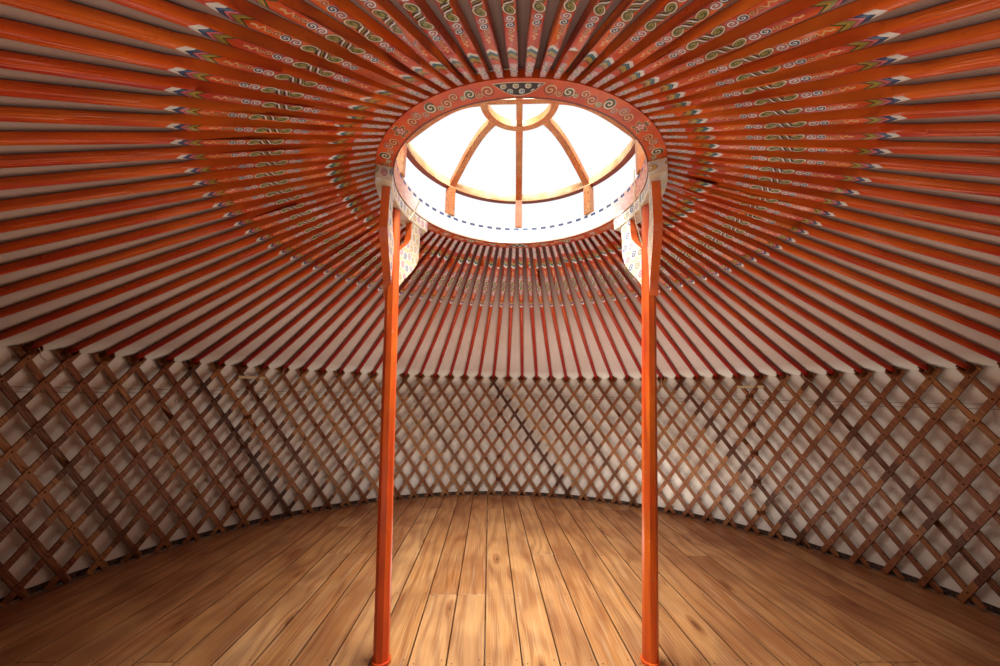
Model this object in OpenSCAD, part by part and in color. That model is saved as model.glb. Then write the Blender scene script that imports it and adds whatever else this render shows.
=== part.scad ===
// Yurt with a timber floor, lattice walls, painted roof poles and a raised crown.
// Millimetres. Origin on the ground at the centre, +Z up, +Y towards the back, doorway on the -Y side.

/* [Wall] */
// Radius of the lattice at its heads
wall_r = 2950; // [2400:10:3600]
// Height of the lattice above the floor
wall_h = 1500; // [1300:10:1800]
// Roof poles over one lattice section
section_poles = 15; // [13:1:17]
// Roof poles over the doorway
door_pole_count = 6; // [5:1:8]

/* [Lattice] */
// Width of a lath
lath_w = 36; // [24:1:46]
// Thickness of a lath
lath_t = 12; // [8:1:16]
// Depth that crossing laths are let into each other
lath_bite = 3; // [2:0.5:4]
// Half steps from the waist of the wall to a lath's tip
tip_steps = 5.6; // [5.4:0.1:5.8]
// Gap between a lath's end and the seam of its section
seam_gap = 42; // [38:1:60]

/* [Floor] */
// Height of the bearers under the boards
bearer_h = 100; // [60:5:200]
// Width of a bearer
bearer_w = 75; // [50:5:120]
// Distance between bearers
bearer_step = 600; // [450:10:700]
// Thickness of the floor boards
board_t = 30; // [20:1:45]
// Thickness of the rim boards
rim_t = 22; // [15:1:35]

/* [Covers] */
// Thickness of the felt and canvas
cover_t = 30; // [15:1:60]
// Depth of the roof cover's hem over the wall
hem_drop = 130; // [80:5:200]
// Thickness of the hem
hem_t = 13; // [8:1:20]
// Width of a wall band
band_w = 60; // [30:1:90]
// Thickness of a wall band
band_t = 6; // [4:1:12]
// Height of the lower band above the floor
band_low = 450; // [300:10:600]
// Height of the upper band above the floor
band_high = 1050; // [900:10:1150]
// Width of the crown cover's folded flap at its root, in degrees
flap_span = 84; // [50:1:110]
// Length of the folded flap down the slope
flap_len = 1050; // [600:10:1400]
// Thickness of the folded flap
flap_t = 16; // [8:1:30]

/* [Roof poles] */
// Diameter of a pole's round end
pole_d = 38; // [28:1:40]
// Side of a pole where it is square
pole_sq = 38; // [30:1:42]
// Side of the pole's tip, which sits in a socket of the crown
tip_sq = 26; // [18:1:28]
// Length over which the tip grows to the full square
tip_taper = 260; // [120:10:400]
// Length of a pole's square part
square_l = 750; // [450:5:1300]
// Length over which the square turns round
round_taper = 60; // [40:5:240]
// Depth of a socket in the crown
socket_depth = 30; // [20:1:45]

/* [Crown] */
// Inner radius of the outer ring
ring_ri = 705; // [600:5:850]
// Width of the outer ring's underside
ring_w = 95; // [80:1:140]
// Height of the outer ring's underside above the floor
ring_z = 2422; // [2300:1:2700]
// Height of the outer ring
ring_h = 130; // [100:1:180]
// Height of the sockets over the outer ring's underside
socket_rise = 20; // [19:1:90]
// Turn of the posts and spokes around the crown, in degrees
crown_turn = -4.4; // [-20:0.1:20]
// How far the middle ring stands in from the outer ring
mid_inset = 8; // [0:1:20]
// Radial width of the middle ring
mid_w = 46; // [30:1:70]
// Height of the middle ring
mid_h = 60; // [40:1:90]
// Clear height between outer and middle ring
post_h = 217; // [150:1:300]
// Side of a crown post
post_w = 52; // [30:1:70]
// Number of posts and spokes
spoke_count = 8; // [6:1:10]
// Width of a spoke
spoke_w = 48; // [30:1:60]
// Depth of a spoke
spoke_t = 40; // [25:1:60]
// Outer radius of the centre ring
hub_r = 245; // [180:1:300]
// Radial width of the centre ring
hub_w = 45; // [30:1:60]
// Height of the centre ring
hub_h = 46; // [30:1:70]
// Rise of the centre ring over the middle ring's underside
hub_rise = 262; // [150:1:350]

/* [Columns] */
// Distance of the left column's foot from the centre
foot_left = 629; // [560:1:660]
// Distance of the right column's foot from the centre
foot_right = 659; // [560:1:680]
// Place of the left column's head around the crown, in degrees
turn_left = 172.5; // [165:0.5:195]
// Place of the right column's head around the crown, in degrees
turn_right = -3; // [-15:0.5:15]
// Width of a column across its flats
shaft_w = 70; // [50:1:76]
// Diameter of the foot plate
foot_d = 90; // [78:1:120]
// Thickness of the foot plate
foot_t = 14; // [8:1:30]
// Height of the curved capital
capital_h = 76; // [40:1:90]
// Width of the capital
capital_w = 88; // [60:1:94]
// Half the span of the capital, in degrees around the crown
capital_half = 25.5; // [22:0.5:28]
// Height of a wing bracket
wing_h = 540; // [400:10:640]
// Thickness of a wing bracket
wing_t = 44; // [30:1:56]
// Width of a wing bracket's arm
arm_w = 105; // [70:1:120]
// Distance from the wing bracket's arm to the end of the capital
arm_inset = 66; // [40:1:100]
// Radius of the scroll at the wing bracket's foot
scroll_r = 19; // [12:1:26]

/* [Door] */
// Width of a jamb
jamb_w = 92; // [70:1:120]
// Depth of the frame
frame_d = 120; // [90:1:150]
// Height of the sill
sill_h = 70; // [40:1:100]
// Height of the lintel
lintel_h = 110; // [80:1:150]
// Thickness of the door leaf
leaf_t = 42; // [30:1:55]
// Angle at which the leaf stands open
leaf_open = 100; // [90:1:120]
// Width of the leaf's stiles and rails
stile_w = 110; // [80:1:140]
// Depth of the panels behind the stiles
panel_sunk = 12; // [6:1:16]

/* [Hidden] */

// Seating clearance between pieces that rest against each other
seat = 0.3;
// Overshoot of a cutting tool past the face that it cuts
past = 5;
// Sides of the smooth round pieces
round_fn = 192;
// Sides of a pole's round end
pole_fn = 20;
// Room left at a piece's end or face where nothing touches it
margin = 5;

floor_z = bearer_h + board_t;

// Angles around the yurt
section_count = 6;
pole_count = section_count * section_poles + door_pole_count;
pole_step = 360 / pole_count;
section_span = section_poles * pole_step;
door_span = 360 - section_count * section_span;
first_seam = -90 + door_span / 2;

// A lath lies along a straight ruling of the wall, which narrows slightly at its waist
tip_angle = tip_steps * pole_step / 2;
waist_r = wall_r * cos(tip_angle);
tip_run = wall_r * sin(tip_angle);
lath_tilt = atan2(wall_h / 2, tip_run);
lath_half = (wall_h / 2 - lath_w / 2 * cos(lath_tilt)) / sin(lath_tilt);
head_steps = floor(tip_steps);
layer_shift = (lath_t - lath_bite) / 2;

// Distance along a lath from its middle to the crossing that is k half steps away
function crossing_s(k) = waist_r * tan(k * pole_step / 2) / cos(lath_tilt);

// Roof slope: the pole lies in the fork of the lattice heads and ends in the crown
fork_rise = (pole_d / 2 + lath_w / 2) / cos(lath_tilt);
fork_z = floor_z + wall_h / 2 + waist_r * tan(head_steps * pole_step / 2) * tan(lath_tilt) + fork_rise;
ring_ro = ring_ri + ring_w;
ring_mid = ring_ri + ring_w / 2;
socket_z = floor_z + ring_z + socket_rise;
roof_slope = atan2(socket_z - fork_z, wall_r - ring_ro);
function axis_z(r) = fork_z + (wall_r - r) * tan(roof_slope);

// Covers
head_room = 3;
cover_ri = wall_r + lath_t + lath_w / 4 + head_room;
cover_ro = cover_ri + cover_t;
hem_ri = cover_ro + seat;
hem_ro = hem_ri + hem_t;
under_rise = (pole_sq / 2 + 2 * seat) / cos(roof_slope);
cover_rise = cover_t / cos(roof_slope);
function roof_under(r) = axis_z(r) + under_rise;
function roof_top(r) = roof_under(r) + cover_rise;
pole_end_r = cover_ri - margin;
deck_r = cover_ro;

// Door frame, between the first and last lattice sections
frame_room = 2;
frame_half = (waist_r - lath_t - lath_w / 2) * sin(door_span / 2) - frame_room;
frame_front = sqrt(pow(cover_ro, 2) - pow(frame_half + seat, 2));
lintel_top = axis_z(pole_end_r) - pole_d / 2 / cos(roof_slope) - seat;
opening_half = frame_half - jamb_w;
leaf_w = 2 * opening_half + jamb_w;
sill_top = floor_z + sill_h;
opening_top = lintel_top - lintel_h;
leaf_h = opening_top - sill_top + jamb_w / 2;
leaf_gap = 8;
hinge_d = 22;
hinge_x = leaf_w / 2;
hinge_y = -frame_front - leaf_t / 2 - leaf_gap;

// Middle ring, on its posts
mid_z = floor_z + ring_z + ring_h + post_h;
mid_r = ring_ri + mid_w / 2 - mid_inset;

module sector(angle_from, angle_to) {
    rotate([0, 0, angle_from])
        rotate_extrude(angle = angle_to - angle_from, $fn = round_fn)
            children();
}

module ring_section(r_in, r_out, z_low, z_high) {
    polygon([[r_in, z_low], [r_out, z_low], [r_out, z_high], [r_in, z_high]]);
}

// FLOOR

module floor_bearers() {
    bearer_sides = floor((deck_r - 2 * bearer_w) / bearer_step);
    color("burlywood")
        for (i = [-bearer_sides:bearer_sides]) {
            half = sqrt(pow(deck_r - bearer_w, 2) - pow(abs(i) * bearer_step + bearer_w / 2, 2));
            translate([-half, i * bearer_step - bearer_w / 2, 0])
                cube([2 * half, bearer_w, bearer_h]);
        }
}

module floor_deck() {
    color("sandybrown")
        translate([0, 0, bearer_h])
            cylinder(h = board_t, r = deck_r, $fn = round_fn);
}

module floor_rim() {
    rim_count = 16;
    rim_step = 360 / rim_count;
    joint_half = 0.1;
    color("peru")
        for (i = [0:rim_count - 1])
            sector(first_seam + i * rim_step + joint_half, first_seam + (i + 1) * rim_step - joint_half)
                ring_section(deck_r + seat, deck_r + seat + rim_t, 0, floor_z);
}

// LATTICE

// One lath of a section: its waist is at place j, and it leans by side
module lath(j, side, s_from, s_to) {
    rotate([0, 0, j * pole_step])
        translate([waist_r + side * layer_shift, 0, floor_z + wall_h / 2])
            rotate([side * (lath_tilt - 90), 0, 0])
                translate([-lath_t / 2, -lath_w / 2, s_from])
                    cube([lath_t, lath_w, s_to - s_from]);
}

// How many half steps a lath may climb or fall before it meets a seam of its section
function steps_up(j, side) = side > 0 ? 2 * (section_poles - j) : 2 * j;
function steps_down(j, side) = side > 0 ? 2 * j : 2 * (section_poles - j);
function lath_end(steps) = steps > head_steps ? lath_half : crossing_s(steps) - seam_gap;

module lattice(i) {
    corner_laths = floor(head_steps / 2);
    color("saddlebrown")
        rotate([0, 0, first_seam + i * section_span])
            for (side = [-1, 1], j = [-corner_laths:section_poles + corner_laths]) {
                up = lath_end(steps_up(j, side));
                down = lath_end(steps_down(j, side));
                if (up + down > lath_w)
                    lath(j, side, -down, up);
            }
}

// DOOR

module door_sill() {
    color("orangered")
        translate([-frame_half, -frame_front, floor_z])
            cube([2 * frame_half, frame_d, sill_h]);
}

module door_jambs() {
    color("orangered")
        for (side = [0, 1])
            mirror([side, 0, 0])
                translate([opening_half, -frame_front, sill_top])
                    cube([jamb_w, frame_d, opening_top - sill_top]);
}

module door_lintel() {
    color("orangered")
        translate([-frame_half, -frame_front, opening_top])
            cube([2 * frame_half, frame_d, lintel_h]);
}

// Everything drawn in the leaf's own place: hinge edge on the Z axis, leaf along +X
module on_leaf() {
    translate([hinge_x, hinge_y, sill_top - jamb_w / 4])
        rotate([0, 0, 180 + leaf_open])
            children();
}

module door_leaf() {
    panel_w = leaf_w - 2 * stile_w - hinge_d;
    panel_h = (leaf_h - 3 * stile_w) / 2;
    color("chocolate")
        on_leaf()
            difference() {
                translate([hinge_d / 2, -leaf_t / 2, 0])
                    cube([leaf_w - hinge_d, leaf_t, leaf_h]);
                for (row = [0, 1], face = [-1, 1])
                    translate([hinge_d / 2 + stile_w, face > 0 ? leaf_t / 2 - panel_sunk : -leaf_t / 2 - past,
                               stile_w + row * (panel_h + stile_w)])
                        cube([panel_w, panel_sunk + past, panel_h]);
            }
}

module door_hinges() {
    strap_l = 180;
    strap_h = 34;
    strap_t = 4;
    pin_d = hinge_d - 2;
    bracket_w = 14;
    end_share = 0.15;
    color("dimgray")
        on_leaf()
            for (z = [leaf_h * end_share, leaf_h * (1 - end_share)])
                translate([0, 0, z - strap_h / 2]) {
                    cylinder(h = strap_h, d = pin_d, $fn = 24);
                    translate([0, leaf_t / 2 + seat, 0])
                        cube([strap_l, strap_t, strap_h]);
                    translate([0, -bracket_w / 2, 0])
                        cube([hinge_d / 2 - seat, bracket_w / 2 + leaf_t / 2 + seat + strap_t, strap_h]);
                    rotate([0, 0, -180 - leaf_open])
                        translate([-bracket_w / 2, 0, strap_t])
                            cube([bracket_w, leaf_t / 2 + leaf_gap - seat, strap_h - 2 * strap_t]);
                }
}

module door_handle() {
    grip_l = 180;
    grip_d = 18;
    stem_d = 12.6;
    stand = 46;
    color("dimgray")
        on_leaf()
            for (face = [-1, 1])
                translate([leaf_w - stile_w / 2 - hinge_d / 2, face * (leaf_t / 2 + seat), leaf_h / 2]) {
                    for (z = [-grip_l / 2 + grip_d, grip_l / 2 - grip_d])
                        translate([0, 0, z])
                            rotate([-90 * face, 0, 0])
                                cylinder(h = stand, d = stem_d, $fn = 16);
                    translate([0, face * stand, -grip_l / 2])
                        cylinder(h = grip_l, d = grip_d, $fn = 16);
                }
}

// ROOF POLES

// Half width of a pole's square part, s along it from the end of its tip
function pole_half_widths(length) = [
    [0, tip_sq / 2], [socket_depth + margin, tip_sq / 2], [tip_taper, pole_sq / 2], [length, pole_sq / 2],
];

// Bar with that outline across one pair of its faces
module pole_profile(length) {
    half = pole_half_widths(length);
    back = [for (i = [len(half) - 1:-1:0]) [half[i][0], -half[i][1]]];
    linear_extrude(height = pole_sq, center = true)
        polygon(concat(half, back));
}

// One pole along +X: tapered square tip, square shaft, a turned shoulder and a round end
module pole_bar(length) {
    corner_r = pole_sq / sqrt(2);
    turned_fn = 24;
    intersection() {
        pole_profile(square_l + round_taper);
        rotate([90, 0, 0])
            pole_profile(square_l + round_taper);
        rotate([0, 90, 0]) {
            cylinder(h = square_l, r = corner_r + past, $fn = turned_fn);
            translate([0, 0, square_l - seat])
                cylinder(h = round_taper + seat, r1 = corner_r, r2 = pole_d / 2, $fn = turned_fn);
        }
    }
    translate([square_l + round_taper / 2, 0, 0])
        rotate([0, 90, 0])
            cylinder(h = length - square_l - round_taper / 2, d = pole_d, $fn = pole_fn);
}

// A pole in its place: tip in the crown's socket, round end over the lattice head
module on_slope() {
    translate([ring_ro, 0, socket_z])
        rotate([0, roof_slope, 0])
            children();
}

module roof_pole() {
    length = (pole_end_r - ring_ro) / cos(roof_slope) + socket_depth;
    on_slope()
        translate([seat - socket_depth, 0, 0])
            pole_bar(length - seat);
}

// Poles over one lattice section, or over the doorway where the last section ends
module pole_group(section, count) {
    first = section * section_poles;
    color("orangered")
        for (i = [first:first + count - 1])
            rotate([0, 0, first_seam + (i + 0.5) * pole_step])
                roof_pole();
}

// CROWN

// Outer ring with a socket for every roof pole
module crown_ring() {
    z_low = floor_z + ring_z;
    socket_sq = tip_sq + 2 * seat;
    mouth = socket_sq * sin(roof_slope) + past;
    color("orangered")
        difference() {
            rotate_extrude($fn = round_fn)
                ring_section(ring_ri, ring_ro, z_low, z_low + ring_h);
            for (i = [0:pole_count - 1])
                rotate([0, 0, first_seam + (i + 0.5) * pole_step])
                    on_slope()
                        translate([-socket_depth, -socket_sq / 2, -socket_sq / 2])
                            cube([socket_depth + mouth, socket_sq, socket_sq]);
        }
}

function spoke_angle(i) = 90 + crown_turn + i * 360 / spoke_count;

module crown_posts() {
    color("sandybrown")
        for (i = [0:spoke_count - 1])
            rotate([0, 0, spoke_angle(i)])
                translate([mid_r - post_w / 2, -post_w / 2, mid_z - post_h])
                    cube([post_w, post_w, post_h]);
}

module crown_middle_ring() {
    color("chocolate")
        rotate_extrude($fn = round_fn)
            ring_section(mid_r - mid_w / 2, mid_r + mid_w / 2, mid_z, mid_z + mid_h);
}

// Arched spoke in the r-z plane, from the middle ring to the centre ring
function arch_point(t, off) =
    let (r_out = mid_r - mid_w / 2 - seat, r_in = hub_r + seat,
         z_out = mid_z + mid_h / 2, z_in = mid_z + hub_rise + hub_h / 2)
    [r_out - (r_out - r_in) * t, z_out + (z_in - z_out) * sin(90 * t) + off];

module crown_spokes() {
    arch_steps = 10;
    ts = [for (i = [0:arch_steps]) i / arch_steps];
    color("sandybrown")
        for (i = [0:spoke_count - 1])
            rotate([0, 0, spoke_angle(i)])
                rotate([90, 0, 0])
                    translate([0, 0, -spoke_w / 2])
                        linear_extrude(height = spoke_w)
                            polygon(concat([for (t = ts) arch_point(t, -spoke_t / 2)],
                                           [for (i = [arch_steps:-1:0]) arch_point(ts[i], spoke_t / 2)]));
}

module crown_hub() {
    z_low = mid_z + hub_rise;
    bar_w = 40;
    bar_t = 28;
    color("chocolate") {
        rotate_extrude($fn = round_fn / 2)
            ring_section(hub_r - hub_w, hub_r, z_low, z_low + hub_h);
        for (turn = [0, 90])
            rotate([0, 0, crown_turn + turn])
                translate([-hub_r + hub_w / 2, -bar_w / 2, z_low + (hub_h - bar_t) / 2])
                    cube([2 * hub_r - hub_w, bar_w, bar_t]);
    }
}

// COLUMNS

capital_z = floor_z + ring_z - capital_h - seat;

// Octagonal shaft leaning from its foot to its head under the crown
module shaft(foot, turn, grow) {
    lean = [ring_mid * cos(turn) - foot, ring_mid * sin(turn)];
    lean_way = atan2(lean[1], lean[0]);
    translate([foot, 0, floor_z])
        rotate([0, atan2(norm(lean), capital_z - floor_z), lean_way])
            rotate([0, 0, 180 / 8 - lean_way])
                cylinder(h = capital_z, r = (shaft_w / 2 + grow) / cos(180 / 8), $fn = 8);
}

module column(foot, turn) {
    reach = 2 * ring_ro;
    color("darkorange") {
        translate([foot, 0, floor_z])
            cylinder(h = foot_t, d = foot_d, $fn = 48);
        intersection() {
            shaft(foot, turn, 0);
            translate([-reach, -reach, floor_z])
                cube([2 * reach, 2 * reach, capital_z - floor_z - seat]);
        }
    }
}

module capital(turn) {
    color("orangered")
        sector(turn - capital_half, turn + capital_half)
            ring_section(ring_mid - capital_w / 2, ring_mid + capital_w / 2,
                         capital_z, capital_z + capital_h);
}

// Eases from 0 to 1
function ease(t) = t * t * (3 - 2 * t);

// Outline of one wing bracket: an arm that rises along the shaft and swings out under the capital's end.
// The arm leaves a window between itself and the shaft.
module wing_outline() {
    curve_share = 0.36;
    window_share = 0.6;
    scroll_share = 0.86;
    arm_out = 2 * ring_mid * sin(capital_half / 2) - arm_inset;
    arm_in = arm_out - arm_w;
    curve_top = -wing_h * curve_share;
    window_low = -wing_h * window_share;
    steps = 10;
    polygon(concat(
        [for (i = [0:steps])
            let (t = i / steps)
            [shaft_w / 2 + (arm_out - shaft_w / 2) * ease(t), -wing_h + (curve_top + wing_h) * t]],
        [[arm_out, 0], [arm_in, 0]],
        [for (i = [0:steps])
            let (t = i / steps)
            [arm_in * (1 - ease(t)), curve_top / 2 + (window_low - curve_top / 2) * t]],
        [[0, -wing_h]]
    ));
    translate([shaft_w / 2 + scroll_r / 2, -wing_h * scroll_share])
        circle(r = scroll_r, $fn = 40);
}

module wings(foot, turn) {
    head = ring_mid * [cos(turn), sin(turn)];
    color("wheat")
        difference() {
            for (side = [-1, 1])
                translate([head[0], head[1], capital_z - seat])
                    rotate([0, 0, turn + side * (90 + capital_half / 2)])
                        rotate([90, 0, 0])
                            translate([0, 0, -wing_t / 2])
                                linear_extrude(height = wing_t)
                                    wing_outline();
            shaft(foot, turn, seat);
        }
}

// COVERS

module wall_cover(i) {
    overlap = 1.6;
    gap_deg = 0.02;
    from = first_seam + i * section_span + (i == 0 ? -overlap : gap_deg);
    to = first_seam + (i + 1) * section_span + (i == section_count - 1 ? overlap : -gap_deg);
    color("whitesmoke")
        difference() {
            sector(from, to)
                polygon([[cover_ri, floor_z], [cover_ro, floor_z], [cover_ro, roof_under(cover_ro) - seat],
                         [cover_ri, roof_under(cover_ri) - seat]]);
            translate([-frame_half - seat, -cover_ro - past, floor_z - past])
                cube([2 * (frame_half + seat), frame_d * 2, wall_h * 2]);
        }
}

module roof_cover(i) {
    gap_deg = 0.02;
    start = -90 + i * 360 / section_count;
    crown_edge = ring_ro + seat;
    color("whitesmoke")
        sector(start + gap_deg, start + 360 / section_count - gap_deg)
            polygon([[crown_edge, roof_under(crown_edge)], [hem_ri, roof_under(hem_ri)],
                     [hem_ri, roof_under(hem_ri) - hem_drop], [hem_ro, roof_under(hem_ri) - hem_drop],
                     [hem_ro, roof_top(hem_ro)], [crown_edge, roof_top(crown_edge)]]);
}

// Folded crown cover, lying on the back slope in a triangle
module crown_cover() {
    r_in = ring_ro + 2 * margin;
    r_out = r_in + flap_len * cos(roof_slope);
    flap_rise = flap_t / cos(roof_slope);
    corner_x = r_out * sin(flap_span / 2);
    corner_y = r_in + flap_t;
    color("gainsboro")
        intersection() {
            sector(90 - flap_span / 2, 90 + flap_span / 2)
                polygon([[r_in, roof_top(r_in) + seat],
                         [r_out, roof_top(r_out) + seat],
                         [r_out, roof_top(r_out) + seat + flap_rise],
                         [r_in, roof_top(r_in) + seat + flap_rise]]);
            translate([0, 0, floor_z])
                linear_extrude(height = 2 * ring_z)
                    polygon([[-corner_x, 0], [-corner_x, corner_y], [0, r_out], [corner_x, corner_y],
                             [corner_x, 0]]);
        }
}

module wall_band(z_mid) {
    color("tan")
        sector(first_seam, first_seam + 360 - door_span)
            ring_section(cover_ro + seat, cover_ro + seat + band_t, z_mid - band_w / 2, z_mid + band_w / 2);
}

floor_bearers();
floor_deck();
floor_rim();
lattice(0);  // lattice_1
lattice(1);  // lattice_2
lattice(2);  // lattice_3
lattice(3);  // lattice_4
lattice(4);  // lattice_5
lattice(5);  // lattice_6
door_sill();
door_jambs();
door_lintel();
door_leaf();
door_hinges();
door_handle();
pole_group(0, section_poles);  // roof_poles_1
pole_group(1, section_poles);  // roof_poles_2
pole_group(2, section_poles);  // roof_poles_3
pole_group(3, section_poles);  // roof_poles_4
pole_group(4, section_poles);  // roof_poles_5
pole_group(5, section_poles);  // roof_poles_6
pole_group(section_count, door_pole_count);  // door_poles
crown_ring();
crown_posts();
crown_middle_ring();
crown_spokes();
crown_hub();
column(-foot_left, turn_left);  // column_left
column(foot_right, turn_right);  // column_right
capital(turn_left);  // capital_left
capital(turn_right);  // capital_right
wings(-foot_left, turn_left);  // wings_left
wings(foot_right, turn_right);  // wings_right
wall_cover(0);  // wall_cover_1
wall_cover(1);  // wall_cover_2
wall_cover(2);  // wall_cover_3
wall_cover(3);  // wall_cover_4
wall_cover(4);  // wall_cover_5
wall_cover(5);  // wall_cover_6
roof_cover(0);  // roof_cover_1
roof_cover(1);  // roof_cover_2
roof_cover(2);  // roof_cover_3
roof_cover(3);  // roof_cover_4
roof_cover(4);  // roof_cover_5
roof_cover(5);  // roof_cover_6
crown_cover();
wall_band(floor_z + band_low);  // wall_band_low
wall_band(floor_z + band_high);  // wall_band_high
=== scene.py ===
"""Dresses the yurt: painted poles and crown, lattice, floor boards, lining, canvas and ropes."""

import logging
import math
import random
from collections.abc import Callable, Iterator, Sequence
from contextlib import contextmanager
from dataclasses import dataclass, field
from enum import Enum

import bpy
from mathutils import Matrix, Vector


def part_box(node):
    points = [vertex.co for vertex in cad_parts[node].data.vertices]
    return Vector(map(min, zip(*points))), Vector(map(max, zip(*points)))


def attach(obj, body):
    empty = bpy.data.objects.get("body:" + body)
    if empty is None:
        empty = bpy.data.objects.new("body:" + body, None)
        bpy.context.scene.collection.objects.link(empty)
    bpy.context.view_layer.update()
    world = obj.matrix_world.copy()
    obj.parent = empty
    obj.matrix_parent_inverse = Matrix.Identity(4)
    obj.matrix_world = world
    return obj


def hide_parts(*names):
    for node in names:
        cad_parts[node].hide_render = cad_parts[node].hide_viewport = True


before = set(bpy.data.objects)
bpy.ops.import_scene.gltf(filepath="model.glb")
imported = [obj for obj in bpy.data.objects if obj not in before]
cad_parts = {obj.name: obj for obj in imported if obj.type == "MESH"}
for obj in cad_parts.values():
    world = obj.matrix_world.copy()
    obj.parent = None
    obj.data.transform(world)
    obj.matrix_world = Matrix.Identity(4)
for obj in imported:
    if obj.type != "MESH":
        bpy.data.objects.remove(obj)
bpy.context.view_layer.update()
LOG = logging.getLogger("yurt")

MERGE = 0.00002  # metres: corners of a node's mesh that lie closer are one
UP = Vector((0, 0, 1))

Tint = tuple[float, float, float]
Socket = bpy.types.NodeSocket
Stops = Sequence[tuple[float, Sequence[float]]]


def tint(code: str) -> Tint:
    """Turns a colour as a painter would pick it on a screen into the shader's own scale.

    Args:
        code: Six hexadecimal digits, red, green and blue.

    Returns:
        The linear red, green and blue values.
    """
    shares = [int(code[i : i + 2], 16) / 255 for i in (0, 2, 4)]
    linear = [s / 12.92 if s <= 0.04045 else ((s + 0.055) / 1.055) ** 2.4 for s in shares]
    return linear[0], linear[1], linear[2]


class Paint(Enum):
    """The colours of the yurt's paints, woods and cloths."""

    BRIGHT_ORANGE = tint("FF7C28")
    ORANGE = tint("F26A1C")
    RED_ORANGE = tint("D9461A")
    RED = tint("A41C12")
    PALE_ORANGE = tint("F4BE86")
    CREAM = tint("F4E2C2")
    WHITE = tint("F2EEE6")
    PINK = tint("DE7C86")
    LILAC = tint("BE8F9C")
    BLUE = tint("3D5A86")
    TEAL = tint("3F8594")
    OLIVE = tint("A29A50")
    LEAF = tint("4E5A30")
    YELLOW = tint("E5AE3C")
    INK = tint("2A1A18")
    TAN = tint("D99A66")
    BROWN = tint("8A4A22")
    DARK_BROWN = tint("3A1D12")
    GREY_WOOD = tint("8F7A62")
    CLOTH = tint("EEE6DA")
    CANVAS = tint("E9E4D8")
    ROPE = tint("C9B48C")
    IRON = tint("35322F")


@dataclass(frozen=True)
class Plan:
    """The yurt's own sizes in metres, as the frame has them."""

    wall_r: float = 2.95
    wall_h: float = 1.5
    section_poles: int = 15
    section_count: int = 6
    door_poles: int = 6
    tip_steps: float = 5.6
    lath_w: float = 0.036
    lath_t: float = 0.012
    lath_bite: float = 0.003
    pole_half: float = 0.019
    tip_half: float = 0.013
    tip_taper: float = 0.26
    socket: float = 0.03
    socket_rise: float = 0.02
    crown_turn: float = math.radians(-4.4)
    ring_width: float = 0.095
    cover_t: float = 0.03
    hem_t: float = 0.013
    floor_z: float = field(default_factory=lambda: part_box("floor_deck")[1].z)
    board_t: float = field(default_factory=lambda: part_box("floor_deck")[1].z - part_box("floor_deck")[0].z)
    deck_r: float = field(default_factory=lambda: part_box("floor_deck")[1].x)
    ring_ro: float = field(default_factory=lambda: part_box("crown_ring")[1].x)
    ring_low: float = field(default_factory=lambda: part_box("crown_ring")[0].z)
    ring_high: float = field(default_factory=lambda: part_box("crown_ring")[1].z)
    rim_ri: float = field(default_factory=lambda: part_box("crown_middle_ring")[1].x - 0.046)

    @property
    def sections(self) -> range:
        """Numbers of the six sections, as the nodes' names have them."""
        return range(1, self.section_count + 1)

    @property
    def pole_count(self) -> int:
        """Number of roof poles."""
        return self.section_count * self.section_poles + self.door_poles

    @property
    def step(self) -> float:
        """Angle from pole to pole, in radians."""
        return math.tau / self.pole_count

    @property
    def first_seam(self) -> float:
        """Angle at which the first lattice section starts, in radians."""
        return -math.pi / 2 + self.door_poles * self.step / 2

    @property
    def waist_r(self) -> float:
        """Radius of the wall at half its height."""
        return self.wall_r * math.cos(self.tip_steps * self.step / 2)

    @property
    def waist_z(self) -> float:
        """Height of the wall's waist."""
        return self.floor_z + self.wall_h / 2

    @property
    def lath_tilt(self) -> float:
        """Angle of a lath above the horizon, in radians."""
        return math.atan2(self.wall_h / 2, self.wall_r * math.sin(self.tip_steps * self.step / 2))

    @property
    def fork_z(self) -> float:
        """Height of a pole's axis over the lattice heads."""
        heads = math.floor(self.tip_steps)
        climb = self.waist_r * math.tan(heads * self.step / 2) * math.tan(self.lath_tilt)
        return self.waist_z + climb + (self.pole_half + self.lath_w / 2) / math.cos(self.lath_tilt)

    @property
    def slope(self) -> float:
        """Slope of the roof in radians."""
        socket_z = self.ring_low + self.socket_rise
        return math.atan2(socket_z - self.fork_z, self.wall_r - self.ring_ro)

    @property
    def cover_ri(self) -> float:
        """Inner radius of the wall cover."""
        return self.deck_r - self.cover_t

    @property
    def hem_ro(self) -> float:
        """Outer radius of the roof cover's hem."""
        return self.deck_r + self.hem_t

    def axis_z(self, radius: float) -> float:
        """Height of the poles' axis at a radius."""
        return self.fork_z + (self.wall_r - radius) * math.tan(self.slope)

    def lining_z(self, radius: float) -> float:
        """Height of the roof lining at a radius, resting on the poles."""
        return self.axis_z(radius) + (self.pole_half + 0.0008) / math.cos(self.slope)

    def roof_z(self, radius: float) -> float:
        """Height of the roof canvas at a radius."""
        return self.lining_z(radius) + self.cover_t / math.cos(self.slope)


PLAN = Plan()


def feed(tree: bpy.types.NodeTree, value: "Signal | Socket | Tint | float", place: Socket) -> None:
    """Gives a node's input its value or its link.

    Args:
        tree: The material's nodes.
        value: A number, a colour, a signal or a socket.
        place: The input.
    """
    if isinstance(value, Signal):
        tree.links.new(value.source, place)
    elif isinstance(value, Socket):
        tree.links.new(value, place)
    else:
        place.default_value = (*value, 1.0) if isinstance(value, tuple) else value


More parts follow.
